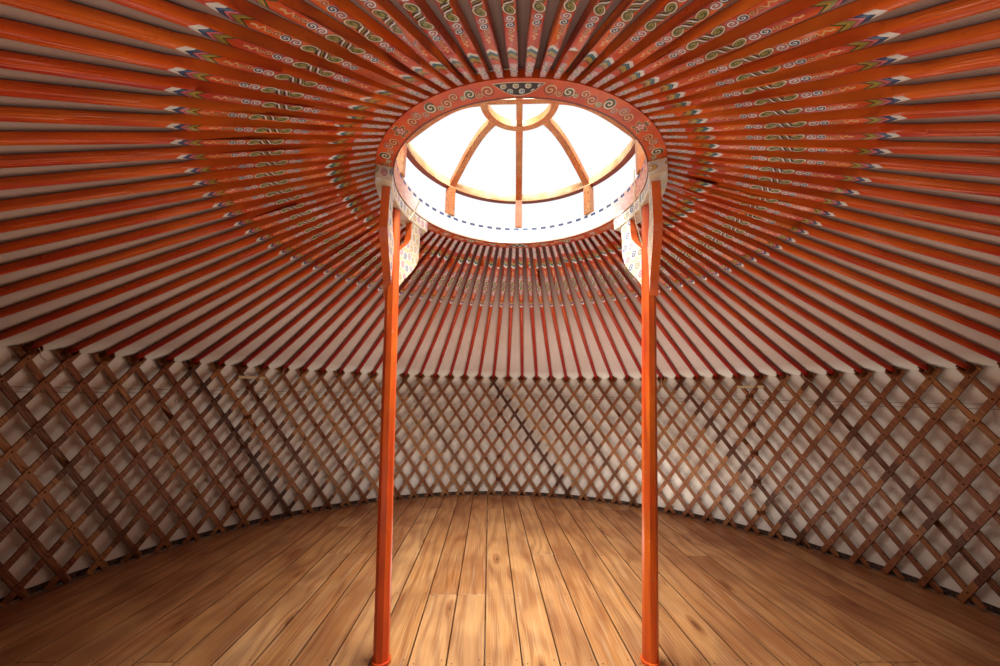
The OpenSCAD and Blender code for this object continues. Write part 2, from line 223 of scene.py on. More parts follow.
@dataclass(frozen=True)
class Signal:
    """A number that a material works out at each point, written with plain arithmetic."""

    tree: bpy.types.NodeTree
    source: Socket

    def math(self, operation: str, *others: "Signal | float", clamp: bool = False) -> "Signal":
        """Adds one math node.

        Args:
            operation: The node's operation.
            others: The second and third inputs.
            clamp: Whether the result is kept from 0 to 1.

        Returns:
            The node's result.
        """
        node = self.tree.nodes.new("ShaderNodeMath")
        node.operation = operation
        node.use_clamp = clamp
        for place, value in zip(node.inputs, (self, *others)):
            feed(self.tree, value, place)
        return Signal(self.tree, node.outputs[0])

    def __add__(self, other: "Signal | float") -> "Signal":
        """Sum."""
        return self.math("ADD", other)

    def __sub__(self, other: "Signal | float") -> "Signal":
        """Difference."""
        return self.math("SUBTRACT", other)

    def __mul__(self, other: "Signal | float") -> "Signal":
        """Product."""
        return self.math("MULTIPLY", other)

    def __truediv__(self, other: "Signal | float") -> "Signal":
        """Quotient."""
        return self.math("DIVIDE", other)

    def __neg__(self) -> "Signal":
        """The same number with the other sign."""
        return self.math("MULTIPLY", -1.0)

    def sine(self) -> "Signal":
        """Sine of an angle in radians."""
        return self.math("SINE")

    def floor(self) -> "Signal":
        """The whole number below."""
        return self.math("FLOOR")

    def fract(self) -> "Signal":
        """What is over the whole number below."""
        return self.math("FRACT")

    def size(self) -> "Signal":
        """The number without its sign."""
        return self.math("ABSOLUTE")

    def root(self) -> "Signal":
        """Square root."""
        return self.math("SQRT")

    def most(self, other: "Signal | float") -> "Signal":
        """The larger of two numbers."""
        return self.math("MAXIMUM", other)

    def least(self, other: "Signal | float") -> "Signal":
        """The smaller of two numbers."""
        return self.math("MINIMUM", other)

    def over(self, limit: "Signal | float", soft: float) -> "Signal":
        """1 where the number is over a limit and 0 under it, with a soft edge between."""
        return ((self - limit) / soft).math("ADD", 0.5, clamp=True)

    def under(self, limit: "Signal | float", soft: float) -> "Signal":
        """1 where the number is under a limit and 0 over it, with a soft edge between."""
        return ((self - limit) / -soft).math("ADD", 0.5, clamp=True)

    def near(self, centre: "Signal | float", half: "Signal | float", soft: float) -> "Signal":
        """1 where the number lies within half of a centre."""
        return (self - centre).size().under(half, soft)

    def between(self, low: float, high: float, soft: float) -> "Signal":
        """1 where the number lies between two limits."""
        return self.near((low + high) / 2, (high - low) / 2, soft)


class Coat:
    """One material: its nodes, its shader and the point that is shaded."""

    def __init__(self, name: str, roughness: float = 0.5, specular: float = 0.35) -> None:
        """Starts the material.

        Args:
            name: The material's name.
            roughness: Roughness where nothing else sets it.
            specular: Strength of the plain reflection.
        """
        self.material = bpy.data.materials.new(name)
        self.material.use_nodes = True
        self.tree = self.material.node_tree
        self.shader = next(n for n in self.tree.nodes if n.type == "BSDF_PRINCIPLED")
        self.shader.inputs["Roughness"].default_value = roughness
        self.shader.inputs["Specular IOR Level"].default_value = specular
        places = self.tree.nodes.new("ShaderNodeTexCoord")
        self.point = places.outputs["Object"]
        self.uv = places.outputs["UV"]
        self.normal = places.outputs["Normal"]
        self.colour: Socket | Tint = Paint.WHITE.value

    def parts(self, source: Socket) -> tuple[Signal, Signal, Signal]:
        """The three parts of a vector."""
        node = self.tree.nodes.new("ShaderNodeSeparateXYZ")
        self.tree.links.new(source, node.inputs[0])
        return tuple(Signal(self.tree, out) for out in node.outputs)

    def vector(self, *values: Signal | float) -> Socket:
        """A vector from three numbers."""
        node = self.tree.nodes.new("ShaderNodeCombineXYZ")
        for place, value in zip(node.inputs, values):
            feed(self.tree, value, place)
        return node.outputs[0]

    def noise(self, place: Socket, scale: float, detail: float = 2.0, twist: float = 0.0) -> Signal:
        """Soft noise from 0 to 1 around a half.

        Args:
            place: Where it is read.
            scale: How fine it is.
            detail: How many finer layers it has.
            twist: How much it is distorted.

        Returns:
            The noise.
        """
        node = self.tree.nodes.new("ShaderNodeTexNoise")
        self.tree.links.new(place, node.inputs["Vector"])
        node.inputs["Scale"].default_value = scale
        node.inputs["Detail"].default_value = detail
        node.inputs["Distortion"].default_value = twist
        return Signal(self.tree, node.outputs[0])

    def chance(self, number: Signal, salt: float = 0.0) -> Signal:
        """A steady random value from 0 to 1 for each whole number."""
        node = self.tree.nodes.new("ShaderNodeTexWhiteNoise")
        node.noise_dimensions = "1D"
        self.tree.links.new((number + salt).source, node.inputs["W"])
        return Signal(self.tree, node.outputs["Value"])

    def pick(self, number: Signal, salt: float, colours: Sequence[tuple[float, Paint]]) -> Socket:
        """A steady random paint for each whole number.

        Args:
            number: The whole number.
            salt: What sets this choice apart from others.
            colours: Where each paint starts between 0 and 1, and the paint.

        Returns:
            The colour.
        """
        stops = [(start, paint.value) for start, paint in colours]
        return self.ramp(self.chance(number, salt), stops, hard=True)

    def attribute(self, name: str) -> Signal:
        """A number that the mesh carries."""
        node = self.tree.nodes.new("ShaderNodeAttribute")
        node.attribute_name = name
        return Signal(self.tree, node.outputs["Fac"])

    def ramp(self, place: Signal, stops: Stops, hard: bool = False) -> Socket:
        """A run of colours along a number from 0 to 1.

        Args:
            place: Where along the run.
            stops: Places and their colours, in order, with an alpha value or without.
            hard: Whether each colour keeps up to the next stop.

        Returns:
            The colour.
        """
        node = self.tree.nodes.new("ShaderNodeValToRGB")
        self.tree.links.new(place.source, node.inputs[0])
        bar = node.color_ramp
        bar.interpolation = "CONSTANT" if hard else "LINEAR"
        while len(bar.elements) < len(stops):
            bar.elements.new(0.5)
        for element, (position, colour) in zip(bar.elements, stops):
            element.position = position
            element.color = (*colour, 1.0)[:4]
        return node.outputs["Color"]

    def blend(self, below: Socket | Tint, above: Socket | Tint, share: Signal) -> Socket:
        """Lays one colour over another.

        Args:
            below: The colour where the share is 0.
            above: The colour where the share is 1.
            share: How much of the upper colour shows.

        Returns:
            The mixed colour.
        """
        node = self.tree.nodes.new("ShaderNodeMix")
        node.data_type = "RGBA"
        for number, value in ((0, share), (6, below), (7, above)):
            feed(self.tree, value, node.inputs[number])
        return node.outputs[2]

    def lay(self, above: Socket | Tint | Paint, share: Signal) -> None:
        """Lays a colour over what the coat has so far."""
        colour = above.value if isinstance(above, Paint) else above
        self.colour = self.blend(self.colour, colour, share)

    def grime(self, place: Socket, scale: float, depth: float) -> None:
        """Darkens the coat in soft patches.

        Args:
            place: Where the patches are read.
            scale: How fine the patches are.
            depth: How dark they get.
        """
        patch = self.noise(place, scale, 2.0).over(0.6, 0.4) * depth
        self.lay(Paint.DARK_BROWN, patch)

    def emboss(self, height: Signal, distance: float, strength: float = 1.0) -> None:
        """Raises the surface by a height field.

        Args:
            height: The field.
            distance: Metres that a height of 1 stands up.
            strength: How much of it shows.
        """
        node = self.tree.nodes.new("ShaderNodeBump")
        node.inputs["Distance"].default_value = distance
        node.inputs["Strength"].default_value = strength
        self.tree.links.new(height.source, node.inputs["Height"])
        self.tree.links.new(node.outputs[0], self.shader.inputs["Normal"])

    def grain(self, scale: float, distance: float, strength: float,
              dull: tuple[float, float] | None = None) -> None:
        """Gives the surface a fine grain.

        Args:
            scale: How fine it is.
            distance: Metres that it stands up.
            strength: How much of it shows.
            dull: What it adds to the roughness, and the least roughness, or None to leave it.
        """
        fine = self.noise(self.point, scale, 1.0)
        self.emboss(fine, distance, strength)
        if dull:
            self.dull(fine * dull[0] + dull[1])

    def dull(self, roughness: Signal) -> None:
        """Sets the roughness from a number."""
        self.tree.links.new(roughness.source, self.shader.inputs["Roughness"])

    def done(self) -> bpy.types.Material:
        """Gives the shader its colour and hands back the material."""
        feed(self.tree, self.colour, self.shader.inputs["Base Color"])
        return self.material


@dataclass(frozen=True)
class Scrolls:
    """A row of painted spirals along a line, one in each cell, turned to alternate sides."""

    pitch: float
    radius: float
    turns: float = 2.2
    offset: float = 0.12

    def draw(self, along: Signal, across: Signal, half: Signal | float) -> tuple[Signal, Signal, Signal]:
        """Works out the spirals.

        Args:
            along: Distance along the row.
            across: Distance across it.
            half: Half the width that the row fills.

        Returns:
            The filled discs, the drawn lines, and the number of each cell.
        """
        place = along / self.pitch
        number = place.floor()
        side = (number * 0.5).fract() * 4.0 - 1.0
        du = (place - number - 0.5) * self.pitch
        dv = across - side * half * self.offset
        reach = (du * du + dv * dv).root()
        angle = dv.math("ARCTAN2", du) * (1 / math.tau)
        wind = (reach * (self.turns / self.radius) - angle * side).fract()
        line = wind.near(0.5, 0.2, 0.12) * reach.under(self.radius * 1.02, 0.0012)
        rim = reach.near(self.radius, self.radius * 0.13, 0.0012)
        return reach.under(self.radius, 0.001), line.most(rim), number


@dataclass(frozen=True)
class Curl:
    """One painted spiral of a row."""

    centre: float
    radius: float
    fill: Paint
    line: Paint = Paint.PALE_ORANGE
    lift: float = 0.0


@dataclass(frozen=True)
class CurlRow:
    """Painted spirals along a line, wound to alternate sides, each on a filled disc with a dark edge."""

    curls: tuple[Curl, ...]
    turns: float = 1.5

    def paint(self, coat: Coat, along: Signal, across: Signal, zone: Signal) -> None:
        """Paints the row.

        Args:
            coat: The material.
            along: Distance along the ornament.
            across: Distance across it.
            zone: Where the ornament may show.
        """
        length = self.curls[-1].centre + self.curls[-1].radius * 1.2
        starts = [0.0]
        for before, after in zip(self.curls, self.curls[1:]):
            starts.append((before.centre + before.radius + after.centre - after.radius) / 2 / length)
        place = along / length
        shapes = [(start, (curl.centre / length, curl.radius / length, 0.5 + curl.lift / length, number % 2))
                  for number, (start, curl) in enumerate(zip(starts, self.curls))]
        shape = coat.ramp(place, shapes, hard=True)
        centre, radius, lift = coat.parts(shape)
        side = Signal(coat.tree, shape.node.outputs["Alpha"]) * 2.0 - 1.0
        du = (place - centre) / radius
        dv = (across / length - lift + 0.5) / radius
        reach = (du * du + dv * dv).root()
        angle = dv.math("ARCTAN2", du) * side / math.tau
        wind = (reach * self.turns - angle).fract()
        inside = reach.under(1.06, 0.12) * place.under(1.0, 0.002) * zone
        coat.lay(coat.ramp(place, [(s, c.fill.value) for s, c in zip(starts, self.curls)], hard=True), inside)
        coat.lay(Paint.INK, wind.near(0.5, 0.37, 0.1) * inside * 0.85)
        coat.lay(coat.ramp(place, [(s, c.line.value) for s, c in zip(starts, self.curls)], hard=True),
                 wind.near(0.5, 0.22, 0.1) * inside)


@dataclass(frozen=True)
class PoleSpot:
    """A point's place on its own roof pole, as the material works it out."""

    radius: Signal  # from the yurt's axis
    shifted: Signal  # the same with the pole's own shift
    away: Signal  # from the middle of the leaves, along the pole
    across: Signal  # from the pole's middle line
    half: Signal  # half the pole's width there
    share: Signal  # across as a share of that half
    rise: Signal  # over the pole's axis
    number: Signal  # the pole's own
    lot: Signal  # the pole's own random value
    back: Signal  # towards the yurt's back
    under: Signal  # 1 on the underside

    @classmethod
    def find(cls, coat: Coat, middle: float, jitter: float) -> "PoleSpot":
        """Works the place out.

        Args:
            coat: The material that asks.
            middle: The radius of the leaves' middle.
            jitter: How far the poles are shifted along their length.

        Returns:
            The place.
        """
        x, y, z = coat.parts(coat.point)
        radius = (x * x + y * y).root()
        turn = (y.math("ARCTAN2", x) - PLAN.first_seam) / PLAN.step
        number = turn.floor()
        across = (turn - number - 0.5) * PLAN.step * radius
        far = (radius - PLAN.ring_ro) / math.cos(PLAN.slope) / (PLAN.tip_taper - PLAN.socket)
        half = far.math("ADD", 0.0, clamp=True) * (PLAN.pole_half - PLAN.tip_half) + PLAN.tip_half
        axis = (radius - PLAN.wall_r) * -math.tan(PLAN.slope) + PLAN.fork_z
        lot = coat.chance(number)
        shifted = radius + (lot - 0.5) * jitter
        under = coat.parts(coat.normal)[2].under(-0.72, 0.1)
        return cls(radius, shifted, (shifted - middle).size(), across, half, across / half,
                   (z - axis) * math.cos(PLAN.slope), number, lot, y, under)


@dataclass(frozen=True)
class PolePaint:
    """Orange paint on the poles, with feathers, spirals and leaves on the underside."""

    outer_tip: float = 1.512
    inner_tip: float = 1.0125
    middle: float = 1.227
    lobe: float = 0.0385
    lobe_half: float = 0.0205
    wave_start: float = 0.150
    wave_end: float = 0.184
    lilac_end: float = 0.905
    jitter: float = 0.03

    @staticmethod
    def feather(coat: Coat, behind: Signal, face: Signal, bands: Sequence[tuple[float, Paint]]) -> None:
        """Paints a row of chevrons that point towards the wall.

        Args:
            coat: The material.
            behind: Distance behind the chevrons' point.
            face: Where the paint may show.
            bands: Where each band ends behind the point, and its colour.
        """
        length = bands[-1][0]
        starts = [0.0] + [end / length for end, _ in bands[:-1]]
        stops = [(begin, paint.value) for begin, (_, paint) in zip(starts, bands)]
        coat.lay(coat.ramp(behind / length, stops, hard=True), behind.between(0.0, length, 0.001) * face)

    def ground(self, coat: Coat, spot: PoleSpot) -> None:
        """Paints the plain faces with painted light and shade: brighter sides over a redder underside, and
        redder towards the back and the wall.
        """
        tone = coat.noise(coat.vector(spot.radius * 3.0, spot.number * 3.1, spot.share * 0.3), 1.3, 1.0)
        # Painted light: the sides are painted a brighter orange than the underside, standing in for the light
        # that the sides miss.
        sides = coat.blend(tint("FF7E2A"), tint("E8501C"), tone.over(0.58, 0.4))
        below = coat.ramp(tone + (spot.lot - 0.5) * 0.2,
                          ((0.3, tint("F0701E")), (0.5, tint("DC4A18")), (0.68, tint("C43A34"))))
        coat.colour = coat.blend(sides, below, spot.under * 0.8)
        # Painted shade: redder towards the yurt's back; towards the wall it is partly the paint's own deeper
        # red and partly painted shade.
        back = spot.back.over(0.5, 1.6) * 0.55 + spot.radius.over(2.1, 1.0) * 0.5
        coat.lay(Paint.RED, back.math("ADD", 0.0, clamp=True))

    def feathers(self, coat: Coat, spot: PoleSpot) -> None:
        """Paints the outer and the inner feathers, and a painted shade along the edges of the underside."""
        outer = -(spot.radius - self.outer_tip) - spot.share.size() * 0.022
        self.feather(coat, outer, spot.under, (
            (0.018, Paint.WHITE), (0.020, Paint.INK), (0.031, Paint.BLUE), (0.034, Paint.INK),
            (0.044, Paint.PINK), (0.048, Paint.RED), (0.061, Paint.OLIVE), (0.065, Paint.YELLOW),
            (0.073, Paint.LEAF)))
        inner = -(spot.shifted - self.inner_tip) - (spot.share + 0.3).size() * 0.018
        self.feather(coat, inner, spot.under, (
            (0.018, Paint.WHITE), (0.021, Paint.INK), (0.031, Paint.TEAL), (0.034, Paint.INK),
            (0.042, Paint.OLIVE), (0.045, Paint.YELLOW), (0.054, Paint.OLIVE), (0.058, Paint.ORANGE),
            (0.066, Paint.LEAF)))
        # Painted shade: dark purplish red along the underside's edges, beside the shaded gaps between the
        # poles.
        coat.lay(tint("7C2038"), spot.share.size().over(0.86, 0.16) * spot.under * 0.7)

    def curls(self, coat: Coat, spot: PoleSpot) -> None:
        """Paints the spirals on both sides of the leaves."""
        CurlRow((Curl(0.0755, 0.0142, Paint.PINK, Paint.WHITE), Curl(0.1025, 0.0126, Paint.BLUE, Paint.WHITE),
                 Curl(0.1255, 0.0098, Paint.RED_ORANGE, lift=0.002),
                 Curl(0.1435, 0.0076, Paint.RED_ORANGE))).paint(coat, spot.away, spot.across, spot.under)

    def leaves(self, coat: Coat, spot: PoleSpot) -> None:
        """Paints two leaves that a braid joins."""
        share, under = spot.share, spot.under
        along = spot.shifted - self.middle
        side = along.math("SIGN")
        du = (spot.away - self.lobe) / self.lobe_half
        dv = share * 1.22 + du * side * 0.42
        reach = (du * du + dv * dv).root()
        coat.lay(Paint.INK, reach.under(1.18, 0.1) * under * 0.8)
        coat.lay(Paint.CREAM, reach.under(1.03, 0.1) * under)
        coat.lay(Paint.INK, reach.under(0.8, 0.1) * under * 0.85)
        coat.lay(Paint.OLIVE, reach.under(0.68, 0.12) * under)
        swirl = (reach * 1.4 - dv.math("ARCTAN2", du) * side / math.tau).fract()
        coat.lay(Paint.LEAF, swirl.near(0.5, 0.2, 0.15) * reach.under(0.7, 0.12) * under)
        braid = (spot.away + share.size() * 0.006).under(0.024, 0.002)
        braid = braid * share.size().under(0.72, 0.1) * under
        coat.lay(Paint.INK, braid * 0.92)
        strand = (along * 46.0 - share * 0.62 + (share * 3.0).sine() * 0.14).fract()
        coat.lay(Paint.OLIVE, strand.near(0.08, 0.1, 0.08) * braid)
        coat.lay(Paint.WHITE, strand.near(0.5, 0.13, 0.09) * braid)

    def waves(self, coat: Coat, spot: PoleSpot) -> None:
        """Paints the waves in which the spirals run out."""
        wave = (spot.away * 330.0).sine() * ((spot.away - self.wave_end) * -14.0)
        trail = spot.away.between(self.wave_start, self.wave_end, 0.002) * spot.under
        coat.lay(Paint.PALE_ORANGE, (spot.share - wave).size().under(0.2, 0.12) * trail)

    def near_ring(self, coat: Coat, spot: PoleSpot) -> None:
        """Paints the lilac stretch beside the crown ring, filled with small spirals."""
        dense = Scrolls(pitch=0.0225, radius=0.0098, turns=1.5, offset=0.2)
        disc, line, cell = dense.draw(spot.shifted, spot.across, spot.half)
        zone = spot.shifted.under(self.lilac_end, 0.002) * spot.under
        coat.lay(Paint.LILAC, zone * spot.share.size().under(0.88, 0.08))
        fills = ((0.0, Paint.PINK), (0.5, Paint.TEAL), (0.7, Paint.OLIVE))
        coat.lay(coat.pick(cell, 5.0, fills), disc * zone)
        coat.lay(Paint.INK, (line - 0.5).size().under(0.3, 0.1) * zone * disc * 0.7)
        coat.lay(Paint.WHITE, line * zone * 0.9)

    def build(self) -> bpy.types.Material:
        """Makes the material."""
        coat = Coat("pole_paint", roughness=0.36, specular=0.4)
        spot = PoleSpot.find(coat, self.middle, self.jitter)
        for paint in (self.ground, self.feathers, self.curls, self.leaves, self.waves, self.near_ring):
            paint(coat, spot)
        coat.grime(coat.vector(spot.radius, spot.across * 6.0, spot.number * 2.0), 7.0, 0.25)
        # Painted shade: a near-black line along the top of each side face, where the poles meet the lining.
        coat.lay(tint("1E0704"), spot.rise.over(spot.half * 0.86, 0.006) * 0.94)
        coat.grain(60.0, 0.0012, 0.3, (0.25, 0.2))
        return coat.done()


@dataclass(frozen=True)
class RingSpot:
    """A point's place on the crown ring, as the material works it out."""

    arc: Signal  # along the ring from the nearest panel's middle
    across: Signal  # outwards from the ring's middle
    under: Signal  # 1 on the underside
    upright: Signal  # 1 on the upright inner wall
    back: Signal  # towards the yurt's back
    height: Signal  # over the ring's middle

    @classmethod
    def find(cls, coat: Coat, quarter: float) -> "RingSpot":
        """Works the place out.

        Args:
            coat: The material that asks.
            quarter: The angle from panel to panel, in radians.

        Returns:
            The place.
        """
        x, y, z = coat.parts(coat.point)
        up = coat.parts(coat.normal)[2]
        middle = PLAN.ring_ro - PLAN.ring_width / 2
        across = (x * x + y * y).root() - middle
        turn = (y.math("ARCTAN2", x) - (PLAN.crown_turn - math.pi / 2)) / quarter
        arc = ((turn + 0.5).fract() - 0.5) * (quarter * middle)
        upright = up.size().under(0.5, 0.1) * across.under(0.0, 0.01)
        return cls(arc, across, up.under(-0.7, 0.1), upright, y, z - (PLAN.ring_low + PLAN.ring_high) / 2)


@dataclass(frozen=True)
class CrownPaint:
    """Orange paint on the outer ring, with a panel, spirals and flowers on its underside."""

    panel_half: float = 0.094
    panel_low: float = -0.031
    panel_high: float = 0.027
    quarter: float = math.pi / 2
    dashes: float = 84.0

    def ground(self, coat: Coat, spot: RingSpot) -> None:
        """Paints the plain faces, redder at the back as painted shade."""
        cloud = coat.noise(coat.point, 9.0, 1.0)
        coat.colour = coat.blend(Paint.ORANGE.value, Paint.RED_ORANGE.value, cloud.over(0.5, 0.4))
        # Painted shade: redder towards the yurt's back.
        coat.lay(tint("A8281C"), spot.back.over(0.45, 0.5) * 0.85)

    def curls(self, coat: Coat, spot: RingSpot) -> None:
        """Paints the spirals between the panels and the flowers."""
        orange, leaf, olive, pink = Paint.RED_ORANGE, Paint.LEAF, Paint.OLIVE, Paint.PINK
        line, pale = Paint.PALE_ORANGE, Paint.CREAM
        CurlRow(tuple(Curl(*row) for row in (
            (0.122, 0.025, orange), (0.160, 0.015, orange, line, -0.012), (0.196, 0.022, leaf, pale, 0.002),
            (0.228, 0.011, olive, pale, -0.006), (0.262, 0.019, orange, line, 0.010),
            (0.302, 0.022, orange, line, -0.006), (0.340, 0.014, olive, pale, -0.016),
            (0.378, 0.026, leaf, pale, 0.006), (0.420, 0.016, pink, line, -0.012),
            (0.458, 0.021, pink, line, 0.008), (0.500, 0.023, orange, line, -0.004),
        ))).paint(coat, spot.arc.size(), spot.across, spot.under)

    def flower(self, coat: Coat, spot: RingSpot) -> None:
        """Paints the flower half-way between two panels."""
        middle = PLAN.ring_ro - PLAN.ring_width / 2
        along = -spot.arc.size() + self.quarter * middle / 2
        reach = (along * along + spot.across * spot.across).root()
        petals = (spot.across.math("ARCTAN2", along) * 6.0).sine() * 0.3 + 1.0
        star = reach / (petals * 0.026)
        coat.lay(Paint.PALE_ORANGE, star.under(1.25, 0.1) * spot.under)
        coat.lay(Paint.LEAF, star.under(1.08, 0.1) * spot.under)
        coat.lay(Paint.PINK, star.under(0.78, 0.1) * spot.under)
        coat.lay(Paint.CREAM, star.near(0.45, 0.1, 0.08) * spot.under)

    def panel(self, coat: Coat, spot: RingSpot) -> None:
        """Paints the dark bowl-shaped panel with its fine spirals."""
        across, under = spot.across, spot.under
        curve = (self.panel_high - self.panel_low) / self.panel_half ** 2
        bowl = spot.arc * spot.arc * curve + self.panel_low
        depth = (across - bowl).least((across * -1.0) + self.panel_high)
        coat.lay(Paint.CREAM, depth.over(-0.0035, 0.0015) * under * 0.9)
        coat.lay(Paint.INK, depth.over(0.0, 0.0015) * under)
        curl = Scrolls(pitch=0.0235, radius=0.011, turns=1.4, offset=0.55)
        disc, line, cell = curl.draw(spot.arc, across, PLAN.ring_width / 4)
        within = depth.over(0.004, 0.002) * under
        fills = ((0.0, Paint.LILAC), (0.35, Paint.TEAL), (0.6, Paint.OLIVE))
        coat.lay(coat.pick(cell, 9.0, fills), disc * within)
        coat.lay(Paint.WHITE, line * within * 0.9)
        coat.lay(tint("3A1B26"), across.under(-PLAN.ring_width / 2 + 0.008, 0.003) * under * 0.8)

    def inner_wall(self, coat: Coat, spot: RingSpot) -> None:
        """Paints the upright inner wall, rosy at the sides and white with blue dashes at the back; the white
        at the back is painted light for the sunlit patch there.
        """
        wall, height = spot.upright, spot.height
        coat.lay(tint("E2927E"), wall * 0.95)
        dashes = (spot.arc * self.dashes).sine()
        coat.lay(Paint.CREAM, (dashes * (height * 60.0).sine()).near(0.3, 0.14, 0.08) * wall * 0.8)
        # Painted light: the back of the wall is painted whiter, standing in for the sun that falls on it.
        coat.lay(tint("FFFBF4"), wall * spot.back.over(0.16, 0.3))
        coat.lay(tint("F0B878"), wall * height.under(-0.058, 0.01) * 0.7)
        coat.lay(Paint.BLUE, dashes.over(-0.2, 0.2) * height.near(0.049, 0.009, 0.003) * wall)

    def build(self) -> bpy.types.Material:
        """Makes the material."""
        coat = Coat("crown_paint", roughness=0.34, specular=0.4)
        spot = RingSpot.find(coat, self.quarter)
        for paint in (self.ground, self.curls, self.flower, self.panel, self.inner_wall):
            paint(coat, spot)
        coat.grime(coat.point, 14.0, 0.2)
        coat.grain(70.0, 0.001, 0.3, (0.25, 0.24))
        return coat.done()


@dataclass(frozen=True)
class RimPaint:
    """Paint of the middle ring: a dark underside and a pale upright inner face."""

    def build(self) -> bpy.types.Material:
        """Makes the material."""
        coat = Coat("rim_paint", roughness=0.4)
        x, y, _ = coat.parts(coat.point)
        _, _, up = coat.parts(coat.normal)
        cloud = coat.noise(coat.point, 8.0, 1.0)
        coat.colour = coat.blend(tint("FFDCA8"), tint("F2B078"), cloud.over(0.52, 0.3))
        coat.lay(Paint.RED_ORANGE, (x * x + y * y).root().over(PLAN.rim_ri + 0.02, 0.01))
        coat.lay(tint("8A3210"), up.under(-0.6, 0.2) * 0.95)
        coat.grime(coat.point, 12.0, 0.25)
        coat.grain(60.0, 0.0012, 0.4, (0.25, 0.28))
        return coat.done()


@dataclass(frozen=True)
class TimberPaint:
    """Paint with a small drawn ornament on a plain ground, for posts, spokes and frames."""

    name: str
    ground: Paint
    rim: Paint
    line: Paint
    pitch: float = 0.03
    amount: float = 0.6
    roughness: float = 0.38

    def build(self) -> bpy.types.Material:
        """Makes the material."""
        coat = Coat(self.name, roughness=self.roughness)
        cloud = coat.noise(coat.point, 6.0, 1.0)
        coat.colour = coat.blend(self.ground.value, self.rim.value, cloud.over(0.58, 0.35) * 0.7)
        node = coat.tree.nodes.new("ShaderNodeTexVoronoi")
        node.feature = "DISTANCE_TO_EDGE"
        node.inputs["Scale"].default_value = 1 / self.pitch
        coat.tree.links.new(coat.point, node.inputs["Vector"])
        vine = Signal(coat.tree, node.outputs[0]).near(0.14, 0.05, 0.05)
        coat.lay(self.line, vine * self.amount)
        coat.grime(coat.point, 12.0, 0.3)
        coat.grain(70.0, 0.0015, 0.35, (0.3, self.roughness - 0.12))
        return coat.done()


@dataclass(frozen=True)
class GlossPaint:
    """Plain glossy paint that is worn and streaked, with painted shade: deeper low down and on the left."""

    name: str
    bright: Paint
    deep: Paint
    roughness: float = 0.28
    streak: float = 2.0

    def build(self) -> bpy.types.Material:
        """Makes the material."""
        coat = Coat(self.name, roughness=self.roughness, specular=0.5)
        x, y, z = coat.parts(coat.point)
        streaks = coat.noise(coat.vector(x * 20.0, y * 20.0, z * self.streak), 1.0, 2.0)
        coat.colour = coat.blend(self.bright.value, self.deep.value, streaks.over(0.52, 0.35))
        scuff = coat.noise(coat.point, 34.0, 2.0).over(0.7, 0.06)
        coat.lay(Paint.TAN, scuff * 0.45)
        # Painted shade: the deeper colour towards the floor and on the left, where x is under 0.
        coat.lay(self.deep, z.under(1.4, 1.4) * x.under(0.0, 0.4) * 0.6)
        coat.grime(coat.vector(x, y, z * 0.6), 8.0, 0.3)
        coat.emboss(streaks, 0.0008, 0.4)
        coat.dull(streaks * 0.2 + scuff * 0.3 + (self.roughness - 0.08))
        return coat.done()


@dataclass(frozen=True)
class ScrollPaint:
    """Cream paint with rows of coloured scrolls, for the brackets and the capitals."""

    name: str
    ground: Tint
    pitch: float = 0.056
    radius: float = 0.026
    lane: float = 0.072
    flat_edges: bool = True

    def build(self) -> bpy.types.Material:
        """Makes the material."""
        coat = Coat(self.name, roughness=0.36, specular=0.4)
        x, y, z = coat.parts(coat.point)
        nx, ny, _ = coat.parts(coat.normal)
        cloud = coat.noise(coat.point, 12.0, 1.0)
        coat.colour = coat.blend(self.ground, Paint.CREAM.value, cloud.over(0.5, 0.3))
        row = Scrolls(pitch=self.pitch, radius=self.radius, turns=1.8, offset=0.3)
        place = (z - PLAN.ring_low - 0.004) / self.lane
        disc, line, cell = row.draw(x + y + place.floor() * 0.031, (place.fract() - 0.5) * self.lane, 0.012)
        fills = ((0.0, Paint.PINK), (0.3, Paint.BLUE), (0.5, Paint.YELLOW), (0.7, Paint.OLIVE),
                 (0.85, Paint.LILAC))
        coat.lay(coat.pick(cell, 3.0, fills), disc * 0.85)
        coat.lay(Paint.WHITE, line * 0.9)
        coat.lay(Paint.INK, (line - 0.5).size().under(0.36, 0.1) * disc * 0.85)
        if self.flat_edges:
            outward = (nx * x + ny * y) / (x * x + y * y).root()
            coat.lay(Paint.ORANGE, outward.size().under(0.5, 0.2) * 0.95)
        coat.grime(coat.point, 16.0, 0.2)
        coat.grain(60.0, 0.001, 0.3)
        return coat.done()


@dataclass(frozen=True)
class LathWood:
    """Worn wood of the lattice. Each lath has its own tone, and its grain runs along it."""

    def build(self) -> bpy.types.Material:
        """Makes the material."""
        coat = Coat("lath_wood", roughness=0.55, specular=0.3)
        x, y, z = coat.parts(coat.point)
        height = z - PLAN.waist_z
        run = height / math.tan(PLAN.lath_tilt)
        square = x * x + y * y
        depth = (square - run * run).root()
        lean = run.math("ARCTAN2", depth)
        angle = y.math("ARCTAN2", x)
        outer = depth.over(PLAN.waist_r, 0.0008)
        side = outer * 2.0 - 1.0
        place = (angle + lean * side - PLAN.first_seam) / PLAN.step
        number = place.math("ROUND")
        across = (place - number) * PLAN.step * PLAN.waist_r
        key = number + side * 211.0
        lot = coat.chance(key)
        grain = coat.noise(coat.vector(height * 5.0, across * 130.0, key), 1.5, 2.0)
        coat.colour = coat.ramp(lot, ((0.0, tint("3A1A0C")), (0.14, tint("7E4422")), (0.55, tint("965A32")),
                                      (0.85, tint("B07A48")), (1.0, tint("5A2E16"))))
        coat.lay(Paint.DARK_BROWN, grain.over(0.56, 0.25) * 0.55)
        coat.lay(tint("C99564"), grain.under(0.38, 0.2) * 0.35)
        coat.grime(coat.vector(height * 2.0, across * 12.0, key), 3.0, 0.45)
        fine = coat.noise(coat.point, 90.0, 1.0)
        coat.emboss(fine, 0.0012, 0.4)
        coat.dull(grain * 0.3 + 0.4)
        return coat.done()


